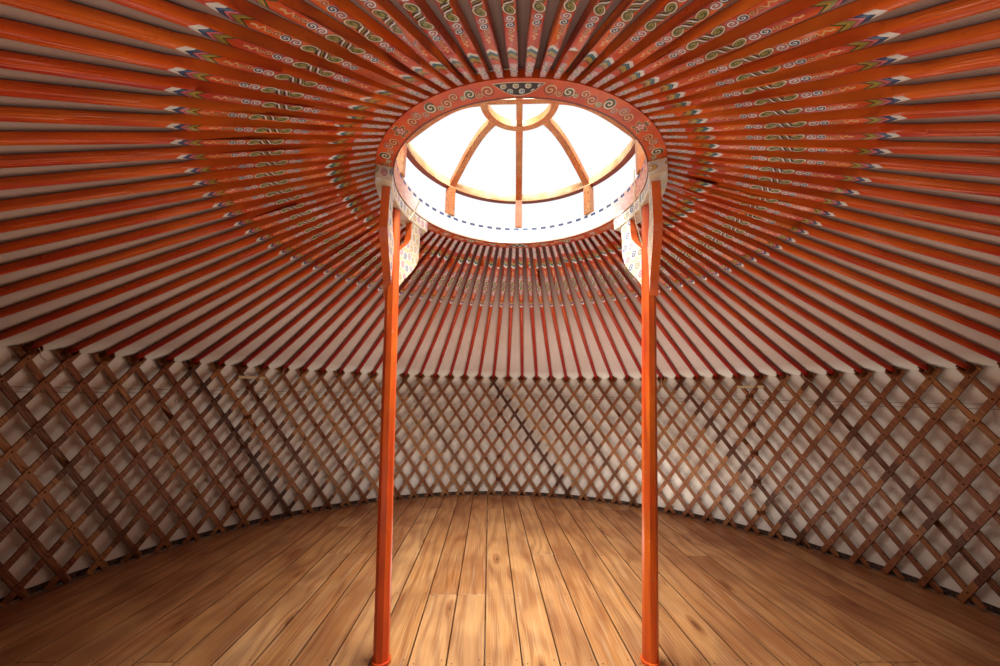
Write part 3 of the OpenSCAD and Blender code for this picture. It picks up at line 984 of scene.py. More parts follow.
@dataclass(frozen=True)
class PineBoards:
    """Varnished pine boards with grain, knots, trodden dirt in soft patches, and darker towards the deck's
    edge. Each board has its own tone.
    """

    board_w: float = 0.18
    shift: float = 0.22

    def build(self) -> bpy.types.Material:
        """Makes the material."""
        coat = Coat("pine_boards", roughness=0.38, specular=0.4)
        x, y, _ = coat.parts(coat.point)
        tone = coat.attribute("board_tone")
        across = ((x / self.board_w - self.shift).fract() - 0.5) * self.board_w
        radius = (x * x + y * y).root()
        knots = coat.tree.nodes.new("ShaderNodeTexVoronoi")
        knots.inputs["Scale"].default_value = 1.0
        coat.tree.links.new(coat.vector(x * 5.5, y * 1.7, tone * 20.0), knots.inputs["Vector"])
        knot_distance = Signal(coat.tree, knots.outputs["Distance"])
        swirl = (knot_distance * -9.0).math("EXPONENT")
        warp = coat.noise(coat.vector(x * 3.0, y * 0.7, tone * 40.0), 1.6, 1.0)
        rings = across * 60.0 + warp * 22.0 + swirl * 12.0 + tone * 17.0
        late = rings.sine().over(0.35, 1.2)
        fibre = coat.noise(coat.vector(x * 170.0, y * 3.0, tone * 30.0), 1.0, 2.0)
        coat.colour = coat.ramp(tone, ((0.0, tint("B0703A")), (0.35, tint("CC8E50")), (0.7, tint("DCA468")),
                                       (1.0, tint("BE7E46"))))
        coat.lay(tint("8E4E24"), late * 0.5)
        coat.lay(tint("F0CC98"), fibre.over(0.58, 0.25) * 0.5)
        coat.lay(tint("6E3818"), knot_distance.under(0.09, 0.05) * 0.85)
        coat.lay(tint("A8622C"), knot_distance.near(0.13, 0.04, 0.05) * 0.4)
        # Dark soft patches, and a darkening towards the deck's edge.
        worn = coat.noise(coat.vector(x * 1.5, y * 1.0, tone * 6.0), 2.4, 2.0)
        coat.lay(tint("7A4022"), worn.over(0.54, 0.25) * 0.45 + radius.over(2.2, 1.6) * 0.45)
        edge = across.size().over(self.board_w / 2 - 0.0045, 0.005)
        coat.lay(tint("4A2612"), edge * 0.7)
        coat.emboss(fibre, 0.0008, 0.5)
        coat.dull(fibre * 0.2 + late * 0.1 + worn * 0.2 + 0.2)
        return coat.done()


@dataclass(frozen=True)
class SawnTimber:
    """Grey, weathered sawn timber."""

    name: str
    light: Paint
    dark: Paint

    def build(self) -> bpy.types.Material:
        """Makes the material."""
        coat = Coat(self.name, roughness=0.75, specular=0.2)
        x, y, z = coat.parts(coat.point)
        grain = coat.noise(coat.vector(x * 3.0, y * 3.0, z * 90.0), 1.6, 3.0)
        coat.colour = coat.blend(self.light.value, self.dark.value, grain.over(0.5, 0.4))
        coat.grime(coat.point, 3.0, 0.4)
        coat.emboss(grain, 0.003, 0.6)
        return coat.done()


@dataclass(frozen=True)
class WovenCloth:
    """Woven cotton: lining or canvas, with its threads, its creases and old stains. The lining also has
    painted light and shade: a rosy roof part for the orange light the poles throw, and a darker crown end.
    """

    name: str
    ground: Paint
    stain: Tint
    thread: float = 0.0016
    crease: float = 0.006
    stitched_and_shaded: bool = False

    def build(self) -> bpy.types.Material:
        """Makes the material."""
        coat = Coat(self.name, roughness=0.85, specular=0.15)
        coat.shader.inputs["Sheen Weight"].default_value = 0.15
        x, y, z = coat.parts(coat.point)
        radius = (x * x + y * y).root()
        arc = y.math("ARCTAN2", x) * radius
        climb = z - radius
        warp = (arc * (math.pi / self.thread)).sine()
        weft = (climb * (math.pi / self.thread)).sine()
        cloud = coat.noise(coat.point, 2.2, 2.0)
        coat.colour = coat.blend(self.ground.value, self.stain, cloud.over(0.56, 0.35) * 0.6)
        if self.stitched_and_shaded:
            seam = (z - PLAN.floor_z).near(PLAN.wall_h * 0.835, 0.0022, 0.0012)
            second = (z - PLAN.floor_z).near(PLAN.wall_h * 0.815, 0.0022, 0.0012)
            below = radius.over(PLAN.waist_r + 0.02, 0.01)
            coat.lay(Paint.INK, seam.most(second) * below * 0.6)
            # Painted reflected light: the roof lining turns rosy, for the orange light that the poles throw
            # on it.
            coat.lay(tint("9A5646"), z.over(PLAN.fork_z + 0.06, 0.06) * 0.42)
            # Darker and redder towards the crown: soot, with painted shade and painted orange reflection from
            # the poles.
            coat.lay(tint("4A1812"), radius.under(1.45, 1.1) * 0.85)
        folds = coat.noise(coat.point, 5.0, 1.0)
        coat.emboss(folds + (warp + weft) * 0.012, self.crease, 0.7)
        return coat.done()


@dataclass(frozen=True)
class FeltWool:
    """Dark brown felt, hairy and matted."""

    def build(self) -> bpy.types.Material:
        """Makes the material."""
        coat = Coat("felt_wool", roughness=0.95, specular=0.1)
        mat = coat.noise(coat.point, 60.0, 3.0)
        coat.colour = coat.blend(tint("3B2C25"), tint("6A5547"), mat.over(0.55, 0.3))
        coat.emboss(mat, 0.002, 0.8)
        return coat.done()


@dataclass(frozen=True)
class RopeFibre:
    """Twisted rope, drawn along the piece's own map."""

    name: str
    light: Paint
    dark: Tint
    twists: float = 60.0

    def build(self) -> bpy.types.Material:
        """Makes the material."""
        coat = Coat(self.name, roughness=0.85, specular=0.15)
        along, around, _ = coat.parts(coat.uv)
        strand = ((along * self.twists + around * 2.0) * math.tau).sine()
        fuzz = coat.noise(coat.point, 240.0, 3.0)
        coat.colour = coat.blend(self.dark, self.light.value, (strand * 0.5 + fuzz).over(0.5, 0.9))
        coat.emboss(strand * 0.6 + fuzz, 0.002, 0.8)
        return coat.done()


@dataclass(frozen=True)
class WornIron:
    """Blackened iron with a little rust."""

    def build(self) -> bpy.types.Material:
        """Makes the material."""
        coat = Coat("worn_iron", roughness=0.5, specular=0.5)
        coat.shader.inputs["Metallic"].default_value = 0.7
        patch = coat.noise(coat.point, 40.0, 5.0)
        coat.colour = coat.blend(Paint.IRON.value, tint("6B3B22"), patch.over(0.6, 0.15) * 0.6)
        coat.emboss(patch, 0.001, 0.5)
        coat.dull(patch * 0.4 + 0.3)
        return coat.done()


class Bench:
    """Adds and shapes meshes with the modelling operators."""

    @staticmethod
    def clear() -> None:
        """Leaves edit mode and deselects everything."""
        if bpy.context.object and bpy.context.object.mode != "OBJECT":
            bpy.ops.object.mode_set(mode="OBJECT")
        bpy.ops.object.select_all(action="DESELECT")

    @staticmethod
    def take(name: str) -> bpy.types.Object:
        """Names the piece that was just added and applies its place.

        Args:
            name: The piece's name.

        Returns:
            The piece, at the origin.
        """
        piece = bpy.context.object
        piece.name = name
        piece.data.name = name
        bpy.ops.object.transform_apply(location=True, rotation=True, scale=True)
        return piece

    @staticmethod
    def pick(piece: bpy.types.Object) -> None:
        """Makes a piece the only selected one."""
        Bench.clear()
        piece.select_set(True)
        bpy.context.view_layer.objects.active = piece

    @staticmethod
    def modify(piece: bpy.types.Object, kind: str, **settings: object) -> None:
        """Adds a modifier and applies it.

        Args:
            piece: The piece.
            kind: The modifier's type.
            settings: Its settings.
        """
        Bench.pick(piece)
        modifier = piece.modifiers.new(kind.title(), kind)
        for name, value in settings.items():
            setattr(modifier, name, value)
        bpy.ops.object.modifier_apply(modifier=modifier.name)

    @staticmethod
    @contextmanager
    def editing(piece: bpy.types.Object, select: str = "SELECT") -> Iterator[None]:
        """Opens a piece in edit mode and leaves it again.

        Args:
            piece: The piece.
            select: What is selected first: SELECT for all of it, or DESELECT for nothing.

        Yields:
            Nothing.
        """
        Bench.pick(piece)
        bpy.ops.object.mode_set(mode="EDIT")
        bpy.ops.mesh.select_all(action=select)
        yield
        bpy.ops.object.mode_set(mode="OBJECT")

    @staticmethod
    def bisect(piece: bpy.types.Object, places: Sequence[tuple[Vector, Vector]]) -> None:
        """Cuts new edges where planes cross a piece.

        Args:
            piece: The piece.
            places: A point on each plane, and its normal.
        """
        with Bench.editing(piece):
            for point, normal in places:
                bpy.ops.mesh.select_all(action="SELECT")
                bpy.ops.mesh.bisect(plane_co=point, plane_no=normal)

    @staticmethod
    def drop(piece: bpy.types.Object, unwanted: Callable[[Vector], bool]) -> None:
        """Deletes the corners that a test picks.

        Args:
            piece: The piece.
            unwanted: The test on a corner's place.
        """
        with Bench.editing(piece, "DESELECT"):
            bpy.ops.object.mode_set(mode="OBJECT")
            for corner in piece.data.vertices:
                corner.select = unwanted(corner.co)
            bpy.ops.object.mode_set(mode="EDIT")
            bpy.ops.mesh.delete(type="VERT")

    @staticmethod
    def shape(piece: bpy.types.Object, move: Callable[[Vector], Vector]) -> None:
        """Moves every corner by a rule.

        Args:
            piece: The piece.
            move: The rule, from a corner's place to its new place.
        """
        for corner in piece.data.vertices:
            corner.co = move(corner.co)
        piece.data.update()

    @staticmethod
    def copies(piece: bpy.types.Object, places: Sequence[Matrix], name: str) -> bpy.types.Object:
        """Copies a piece to many places and joins the copies.

        Args:
            piece: The piece that is copied, which is removed.
            places: Where the copies go.
            name: The joined piece's name.

        Returns:
            The joined piece.
        """
        made = [Bench.copy(piece, name, place) for place in places]
        bpy.data.objects.remove(piece)
        return Bench.join(made, name)

    @staticmethod
    def copy(piece: bpy.types.Object, name: str, place: Matrix) -> bpy.types.Object:
        """Copies a piece, with its own mesh, to another place.

        Args:
            piece: The piece that is copied.
            name: The copy's name.
            place: Where the copy goes.

        Returns:
            The copy.
        """
        copy = bpy.data.objects.new(name, piece.data.copy())
        copy.data.transform(place)
        bpy.context.scene.collection.objects.link(copy)
        return copy

    @staticmethod
    def join(pieces: Sequence[bpy.types.Object], name: str) -> bpy.types.Object:
        """Joins pieces into one.

        Args:
            pieces: The pieces.
            name: The joined piece's name.

        Returns:
            The joined piece.
        """
        Bench.clear()
        for piece in pieces:
            piece.select_set(True)
        bpy.context.view_layer.objects.active = pieces[0]
        if len(pieces) > 1:
            bpy.ops.object.join()
        joined = bpy.context.object
        joined.name = name
        joined.data.name = name
        return joined

    @staticmethod
    def rope(points: Sequence[Vector], radius: float, name: str, smooth: bool = True) -> bpy.types.Object:
        """Makes a round rope along points.

        Args:
            points: The rope's line.
            radius: Its radius.
            name: The piece's name.
            smooth: Whether it curves through the points.

        Returns:
            The rope as a mesh, with a map along it.
        """
        curve = bpy.data.curves.new(name, "CURVE")
        curve.dimensions = "3D"
        curve.bevel_depth = radius
        curve.bevel_resolution = 2
        curve.use_fill_caps = True
        curve.resolution_u = 4
        spline = curve.splines.new("NURBS" if smooth else "POLY")
        spline.points.add(len(points) - 1)
        for knot, point in zip(spline.points, points):
            knot.co = (*point, 1.0)
        if smooth:
            spline.order_u = 3
            spline.use_endpoint_u = True
        piece = bpy.data.objects.new(name, curve)
        bpy.context.scene.collection.objects.link(piece)
        Bench.pick(piece)
        bpy.ops.object.convert(target="MESH")
        bpy.ops.object.shade_smooth()
        return bpy.context.object


def polar(radius: float, angle: float, height: float) -> Vector:
    """A point from its radius, its angle in radians and its height."""
    return Vector((radius * math.cos(angle), radius * math.sin(angle), height))


def finish_piece(piece: bpy.types.Object, material: bpy.types.Material) -> None:
    """Gives a new piece its material and puts it on the yurt.

    Args:
        piece: The piece.
        material: Its material.
    """
    piece.data.materials.clear()
    piece.data.materials.append(material)
    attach(piece, "root")
    LOG.info("%s: %d faces", piece.name, len(piece.data.polygons))


def dress_node(name: str, material: bpy.types.Material, bevel: float = 0.0) -> None:
    """Gives a node of the frame its material.

    Args:
        name: The node's name.
        material: Its material.
        bevel: Width of its softened edges, or 0 for none.
    """
    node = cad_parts[name]
    node.data.materials.clear()
    node.data.materials.append(material)
    if bevel > 0:
        weld = node.modifiers.new("Weld", "WELD")
        weld.merge_threshold = MERGE
        soft = node.modifiers.new("Bevel", "BEVEL")
        soft.width = bevel
        soft.segments = 2
        soft.limit_method = "ANGLE"
        soft.angle_limit = math.radians(40)
    LOG.info("%s dressed", name)


@dataclass(frozen=True)
class Frame:
    """The laths and poles: finely divided copies of their nodes, whose short faces render fast."""

    pole_step: float = 0.2
    lath_step: float = 0.12
    smooth: float = math.radians(35)

    def divide(self, name: str, title: str, planes: Sequence[tuple[Vector, Vector]],
               material: bpy.types.Material) -> None:
        """Stands a divided copy for one node, in the same shape.

        Args:
            name: The node's name.
            title: The copy's name.
            planes: A point on each plane that divides it, and the plane's normal.
            material: Its material.
        """
        piece = Bench.copy(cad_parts[name], title, Matrix())
        with Bench.editing(piece):
            bpy.ops.mesh.remove_doubles(threshold=MERGE)
        Bench.bisect(piece, planes)
        bpy.ops.object.shade_smooth_by_angle(angle=self.smooth)
        finish_piece(piece, material)
        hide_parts(name)

    def build(self, paint: bpy.types.Material, wood: bpy.types.Material) -> None:
        """Dresses the poles and the laths."""
        grid = [(normal * k * self.pole_step, normal) for normal in (Vector((1, 0, 0)), Vector((0, 1, 0)))
                for k in range(-14, 15)]
        levels = [(UP * (PLAN.floor_z + 0.05 + k * self.lath_step), UP) for k in range(13)]
        for i in PLAN.sections:
            self.divide(f"roof_poles_{i}", f"painted_poles_{i}", grid, paint)
            self.divide(f"lattice_{i}", f"worn_laths_{i}", levels, wood)
        self.divide("door_poles", "painted_door_poles", grid, paint)


@dataclass
class Floor:
    """Pine boards laid across the bearers, with their nails."""

    board_w: float = 0.18
    gap: float = 0.0035
    bevel: float = 0.0025
    nail_r: float = 0.0035
    bearer_step: float = 0.6
    shift: float = 0.22
    first_spans: tuple[int, ...] = (1, 2, 3, 4)
    spans: tuple[int, ...] = (3, 4, 5, 6)
    shortest: float = 0.4
    nail_share: float = 0.36
    nail_stagger: float = 0.012
    rim: float = 0.06
    seed: int = 7

    def rows(self) -> list[tuple[float, list[float]]]:
        """Works out the boards.

        Returns:
            For each row its middle, and the places where its boards start and end.
        """
        chance = random.Random(self.seed)
        count = math.ceil(PLAN.deck_r / self.board_w)
        rows = []
        for i in range(-count, count):
            middle = (i + 0.5) * self.board_w + self.board_w * self.shift
            reach = PLAN.deck_r + self.board_w
            joints = [-reach]
            spot = -PLAN.deck_r + chance.choice(self.first_spans) * self.bearer_step
            while spot < PLAN.deck_r - self.shortest:
                joints.append(round(spot / self.bearer_step) * self.bearer_step)
                spot += chance.choice(self.spans) * self.bearer_step
            rows.append((middle, [*joints, reach]))
        return rows

    def boards(self, material: bpy.types.Material) -> None:
        """Lays the boards and trims them to the round deck."""
        chance = random.Random(self.seed + 1)
        made = []
        for middle, joints in self.rows():
            if abs(middle) - self.board_w / 2 > PLAN.deck_r:
                continue
            for start, end in zip(joints, joints[1:]):
                Bench.clear()
                bpy.ops.mesh.primitive_cube_add(
                    size=1.0,
                    location=(middle, (start + end) / 2, PLAN.floor_z - PLAN.board_t / 2),
                    scale=(self.board_w - self.gap, end - start - self.gap, PLAN.board_t),
                )
                board = Bench.take("board")
                Bench.modify(board, "BEVEL", width=self.bevel, segments=1)
                tones = board.data.attributes.new("board_tone", "FLOAT", "FACE")
                tones.data.foreach_set("value", [chance.random()] * len(board.data.polygons))
                made.append(board)
        boards = Bench.join(made, "floor_boards")
        Bench.clear()
        bpy.ops.mesh.primitive_cylinder_add(
            vertices=192, radius=PLAN.deck_r - 0.001, depth=0.2, location=(0, 0, PLAN.floor_z)
        )
        edge = Bench.take("deck_edge")
        Bench.modify(boards, "BOOLEAN", operation="INTERSECT", object=edge, solver="FAST")
        bpy.data.objects.remove(edge)
        finish_piece(boards, material)
        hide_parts("floor_deck")

    def nails(self, material: bpy.types.Material) -> None:
        """Sets two nails in each board over each bearer."""
        Bench.clear()
        bpy.ops.mesh.primitive_cylinder_add(vertices=6, radius=self.nail_r, depth=0.0012)
        nail = Bench.take("nail")
        places = []
        for middle, _ in self.rows():
            for k in range(-5, 6):
                for side in (-1, 1):
                    across = middle + side * self.board_w * self.nail_share
                    spot = Vector((across, k * self.bearer_step + side * self.nail_stagger, 0))
                    if spot.length < PLAN.deck_r - self.rim:
                        places.append(Matrix.Translation(spot + UP * PLAN.floor_z))
        nails = Bench.copies(nail, places, "floor_nails")
        finish_piece(nails, material)

    def build(self, pine: bpy.types.Material, iron: bpy.types.Material) -> None:
        """Makes the floor."""
        self.boards(pine)
        self.nails(iron)


@dataclass
class Covers:
    """The lining inside and the canvas outside, over the walls and the roof."""

    columns: int = 384
    skirt_gap: float = 0.045
    sag: float = 0.004
    billow: float = 0.006
    hem_drop: float = 0.13
    felt_t: float = 0.012
    felt_gap: float = 0.0155
    lining_gap: float = 0.003
    lining_t: float = 0.0016
    canvas_t: float = 0.003
    wall_share: float = 0.94

    def shell(self, name: str, radii: tuple[float, float], heights: tuple[float, float],
              rows: int) -> bpy.types.Object:
        """Makes a round cloth with rows of faces, upright or as a cone.

        Args:
            name: The piece's name.
            radii: Its radius at the lower and at the upper edge.
            heights: The height of both edges.
            rows: Its rows of faces.

        Returns:
            The cloth.
        """
        low, high = heights
        Bench.clear()
        bpy.ops.mesh.primitive_cone_add(
            vertices=self.columns, radius1=radii[0], radius2=radii[1], depth=high - low,
            end_fill_type="NOTHING", location=(0, 0, (low + high) / 2)
        )
        shell = Bench.take(name)
        step = (high - low) / rows
        Bench.bisect(shell, [(UP * (low + step * k), UP) for k in range(1, rows)])
        return shell

    def wall(self, name: str, radius: float, heights: tuple[float, float], rows: int) -> bpy.types.Object:
        """Makes an upright cloth with the doorway cut out of it.

        Args:
            name: The piece's name.
            radius: Its radius.
            heights: The height of its lower and its upper edge.
            rows: Its rows of faces.

        Returns:
            The cloth.
        """
        cloth = self.shell(name, (radius, radius), heights, rows)
        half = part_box("door_jambs")[1].x + 0.001
        Bench.drop(cloth, lambda co: abs(co.x) < half and co.y < 0)
        return cloth

    @staticmethod
    def stand_for(cloth: bpy.types.Object, material: bpy.types.Material, thickness: float, offset: float,
                  covers: str) -> None:
        """Thickens a cloth, dresses it and lets it stand for the frame's cover nodes.

        Args:
            cloth: The cloth.
            material: Its material.
            thickness: Its thickness.
            offset: Which side the thickness goes to: -1 inwards, 0 both.
            covers: The nodes' name without their number.
        """
        Bench.modify(cloth, "SOLIDIFY", thickness=thickness, offset=offset)
        finish_piece(cloth, material)
        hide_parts(*[f"{covers}_{i}" for i in PLAN.sections])

    def wall_lining(self, material: bpy.types.Material) -> None:
        """Hangs the lining behind the lattice."""
        low = PLAN.floor_z + self.skirt_gap
        high = PLAN.lining_z(PLAN.cover_ri) - 0.002
        lining = self.wall("wall_lining", PLAN.cover_ri + self.lining_gap, (low, high), 24)

        def hang(co: Vector) -> Vector:
            """Lays the lining in upright folds, deeper towards its foot."""
            angle = math.atan2(co.y, co.x)
            share = (co.z - low) / (high - low)
            wave = math.sin(angle * 37.0 + 1.3 * math.sin(angle * 5.0)) * (1 - share) * 0.6
            wave += math.sin(angle * 96.0 + share * 9.0) * 0.25
            grow = 1 + (wave + 0.85) * 0.003 / PLAN.cover_ri
            return Vector((co.x * grow, co.y * grow, co.z))

        Bench.shape(lining, hang)
        self.stand_for(lining, material, self.lining_t, 0.0, "wall_cover")
        high - low

    def wall_felt(self, material: bpy.types.Material) -> None:
        """Stands the felt between the lining and the canvas, down to the floor."""
        low = PLAN.floor_z + 0.002
        high = PLAN.lining_z(PLAN.deck_r) - 0.01
        felt = self.wall("wall_felt", PLAN.cover_ri + self.felt_gap, (low, high), 3)
        self.stand_for(felt, material, self.felt_t, 0.0, "wall_cover")
        high - low

    def wall_canvas(self, material: bpy.types.Material) -> None:
        """Wraps the canvas around the outside of the wall."""
        low = PLAN.floor_z + 0.004
        high = PLAN.lining_z(PLAN.deck_r) - 0.004
        canvas = self.wall("wall_canvas", PLAN.deck_r - self.canvas_t, (low, high), 30)
        bands = [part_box(f"wall_band_{which}") for which in ("low", "high")]
        heights = [(low_corner.z + high_corner.z) / 2 for low_corner, high_corner in bands]

        def puff(co: Vector) -> Vector:
            """Draws the canvas in at the bands and lets it swell between them."""
            angle = math.atan2(co.y, co.x)
            pull = max(math.exp(-((co.z - h) / 0.07) ** 2) for h in heights)
            fold = math.sin(angle * 61.0 + 2.0 * math.sin(angle * 9.0) + co.z * 4.0)
            gather = fold * (0.5 + 0.5 * pull)
            grow = 1 + self.billow * ((1 - pull) * 0.6 + gather * 0.35 - 0.6) / PLAN.deck_r
            return Vector((co.x * grow, co.y * grow, co.z))

        Bench.shape(canvas, puff)
        self.stand_for(canvas, material, self.canvas_t, -1.0, "wall_cover")
        high - low

    def roof_lining(self, material: bpy.types.Material) -> None:
        """Lays the lining over the poles, where it sags a little between them."""
        foot, top = PLAN.cover_ri + 0.002, PLAN.ring_ro + 0.002
        lining = self.shell("roof_lining", (foot, top), (PLAN.lining_z(foot), PLAN.lining_z(top)), 22)

        def sag(co: Vector) -> Vector:
            """Lets the lining sink between the poles."""
            radius = math.hypot(co.x, co.y)
            place = (math.atan2(co.y, co.x) - PLAN.first_seam) / PLAN.step
            between = math.sin(math.pi * (place - 0.5)) ** 2
            return Vector((co.x, co.y, co.z - between * self.sag * (radius / PLAN.wall_r) * 2.0))

        Bench.shape(lining, sag)
        self.stand_for(lining, material, self.lining_t, 0.0, "roof_cover")

    def roof_canvas(self, material: bpy.types.Material) -> None:
        """Lays the canvas over the roof, with a hem that hangs over the wall."""
        outer = PLAN.hem_ro - 0.002
        inner = PLAN.ring_ro + 0.004
        rim_z, top_z = (PLAN.roof_z(radius) - 0.002 for radius in (outer, inner))
        canvas = self.shell("roof_canvas", (outer, inner), (rim_z, top_z), 30)
        drop = self.hem_drop + PLAN.roof_z(outer) - PLAN.lining_z(outer)
        for height in (rim_z, rim_z - drop / 3, rim_z - drop * 2 / 3):
            self.pull_rim(canvas, height, drop / 3)
        self.pull_rim(canvas, top_z, PLAN.cover_t)

        def settle(co: Vector) -> Vector:
            """Draws the hem in, dips the cloth between the poles and lays it in soft folds."""
            radius = math.hypot(co.x, co.y)
            angle = math.atan2(co.y, co.x)
            place = (angle - PLAN.first_seam) / PLAN.step
            share = (radius - PLAN.ring_ro) / (PLAN.hem_ro - PLAN.ring_ro)
            ridge = math.sin(math.pi * (place - 0.5)) ** 2
            low_edge = max(0.0, (rim_z - co.z) / drop)
            wave = math.sin(angle * 53.0 + math.sin(angle * 7.0)) * low_edge
            grow = 1 - (0.5 + 0.5 * wave) * 0.008 * low_edge / radius
            dip = ridge * 0.005 * max(0.0, min(1.0, share))
            fold = 0.004 * math.sin(angle * 11.0 + radius * 3.0) * math.sin(radius * 4.0 + angle * 3.0)
            lift = (fold - 0.004 - dip) if low_edge == 0 else 0.0
            return Vector((co.x * grow, co.y * grow, co.z + lift))

        Bench.shape(canvas, settle)
        self.stand_for(canvas, material, self.canvas_t, -1.0, "roof_cover")
        slant = (PLAN.hem_ro - PLAN.ring_ro) / math.cos(PLAN.slope)
        area = math.pi * (PLAN.hem_ro + PLAN.ring_ro) * slant + math.tau * PLAN.hem_ro * drop

    @staticmethod
    def pull_rim(piece: bpy.types.Object, height: float, down: float) -> None:
        """Extrudes the open rim that lies at a height.

        Args:
            piece: The cloth.
            height: The rim's height.
            down: How far the new rim hangs below it.
        """
        close = 0.0004
        with Bench.editing(piece, "DESELECT"):
            bpy.ops.object.mode_set(mode="OBJECT")
            corners = piece.data.vertices
            for edge in piece.data.edges:
                edge.select = all(abs(corners[i].co.z - height) < close for i in edge.vertices)
            for corner in corners:
                corner.select = abs(corner.co.z - height) < close
            bpy.ops.object.mode_set(mode="EDIT")
            bpy.ops.mesh.select_mode(type="EDGE")
            bpy.ops.mesh.extrude_region_move(TRANSFORM_OT_translate={"value": UP * -down})
            bpy.ops.mesh.select_mode(type="VERT")

    def build(self, lining: bpy.types.Material, felt: bpy.types.Material, canvas: bpy.types.Material) -> None:
        """Makes the cloths from the inside to the outside."""
        self.wall_lining(lining)
        self.wall_felt(felt)
        self.roof_lining(lining)
        self.wall_canvas(canvas)
        self.roof_canvas(canvas)


@dataclass
class CrownFlap:
    """The square flap of the crown, folded back over the roof, and the ropes that hold it and the roof."""

    columns: int = 56
    rows: int = 34
    half_turn: float = math.radians(42)
    apex: float = 1.76
    shoulder: float = 0.8
    lift: float = 0.004
    layer: float = 0.009
    side: float = 1.62
    cord_r: float = 0.006
    rope_r: float = 0.0065
    rope_turns: tuple[int, ...] = (8, 172, 205, 238, 302, 335)
    cord_steps: int = 48
    rope_steps: int = 12

    def edge(self, turn: float) -> float:
        """Radius of the flap's outer edge at an angle from its middle."""
        return self.apex / (math.cos(turn) + self.shoulder * abs(math.sin(turn)))

    def place(self, turn: float, share: float, rise: float) -> Vector:
        """A point on the flap.

        Args:
            turn: Angle from the flap's middle.
            share: 0 at the outer edge and 1 at the crown.
            rise: Height over the roof.

        Returns:
            The point.
        """
        inner = PLAN.ring_ro + 0.012
        radius = self.edge(turn) + (inner - self.edge(turn)) * share
        fold = math.sin(turn * 31.0 + radius * 5.0) * 0.5 + math.sin(turn * 13.0 - radius * 9.0) * 0.5
        height = PLAN.roof_z(radius) + rise + 0.0025 * (fold + 1.0)
        return polar(radius, math.pi / 2 + turn, height)

    def cloth(self, material: bpy.types.Material) -> None:
        """Folds the flap: its lower layer runs in to the crown, and its upper layer back out."""
        Bench.clear()
        bpy.ops.mesh.primitive_grid_add(x_subdivisions=self.columns, y_subdivisions=self.rows * 2, size=2.0)
        flap = Bench.take("crown_flap")

        def fold(co: Vector) -> Vector:
            """Lays the half of the grid behind its middle over the half before it, a little smaller."""
            upper = 0.5 + 0.5 * math.tanh(co.y * 14.0)
            share = 1.0 - abs(co.y) * (1.0 - 0.06 * upper)
            turn = co.x * self.half_turn * (1 - 0.04 * upper)
            return self.place(turn, share, self.lift + self.layer * upper)

        Bench.shape(flap, fold)
        Bench.modify(flap, "SOLIDIFY", thickness=0.003, offset=0.0)
        Bench.pick(flap)
        bpy.ops.object.shade_smooth()
        finish_piece(flap, material)
        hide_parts("crown_cover")

    def down(self, start: Vector) -> list[Vector]:
        """Runs a taut rope from the roof, over the hem and down to the upper band.

        Args:
            start: Where it starts.

        Returns:
            Its points.
        """
        angle = math.atan2(start.y, start.x)
        reach = math.hypot(start.x, start.y)
        points = [start]
        for k in range(1, self.rope_steps + 1):
            radius = reach + (PLAN.hem_ro + 0.002 - reach) * k / self.rope_steps
            points.append(polar(radius, angle, PLAN.roof_z(radius) + self.rope_r + 0.001))
        low_band, high_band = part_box("wall_band_high")
        hem_z = PLAN.roof_z(PLAN.hem_ro)
        points += [polar(PLAN.hem_ro + 0.012, angle, hem_z - down) for down in (0.03, 0.17)]
        points += [polar(high_band.x + self.rope_r, angle, z) for z in (high_band.z + 0.02, low_band.z)]
        return points

    def ropes(self, material: bpy.types.Material) -> None:
        """Binds the flap's edge with a cord and ties its corners and the roof down."""
        made = []
        border = [self.place(self.half_turn * (k / (self.cord_steps / 2) - 1), 0.0, self.lift)
                  for k in range(self.cord_steps + 1)]
        made.append(Bench.rope(border, self.cord_r, "flap_cord"))
        for turn in (-self.half_turn, 0.0, self.half_turn):
            start = self.place(turn, 0.01, self.lift + self.rope_r)
            made.append(Bench.rope(self.down(start), self.rope_r, "flap_rope", smooth=False))
        for degrees in self.rope_turns:
            angle = math.radians(degrees)
            start = polar(PLAN.ring_ro + 0.02, angle, PLAN.roof_z(PLAN.ring_ro + 0.02) + self.rope_r)
            made.append(Bench.rope(self.down(start), self.rope_r, "roof_rope", smooth=False))
        ropes = Bench.join(made, "roof_ropes")
        finish_piece(ropes, material)

    def build(self, cloth: bpy.types.Material, rope: bpy.types.Material) -> None:
        """Makes the flap and its ropes."""
        self.cloth(cloth)
        self.ropes(rope)


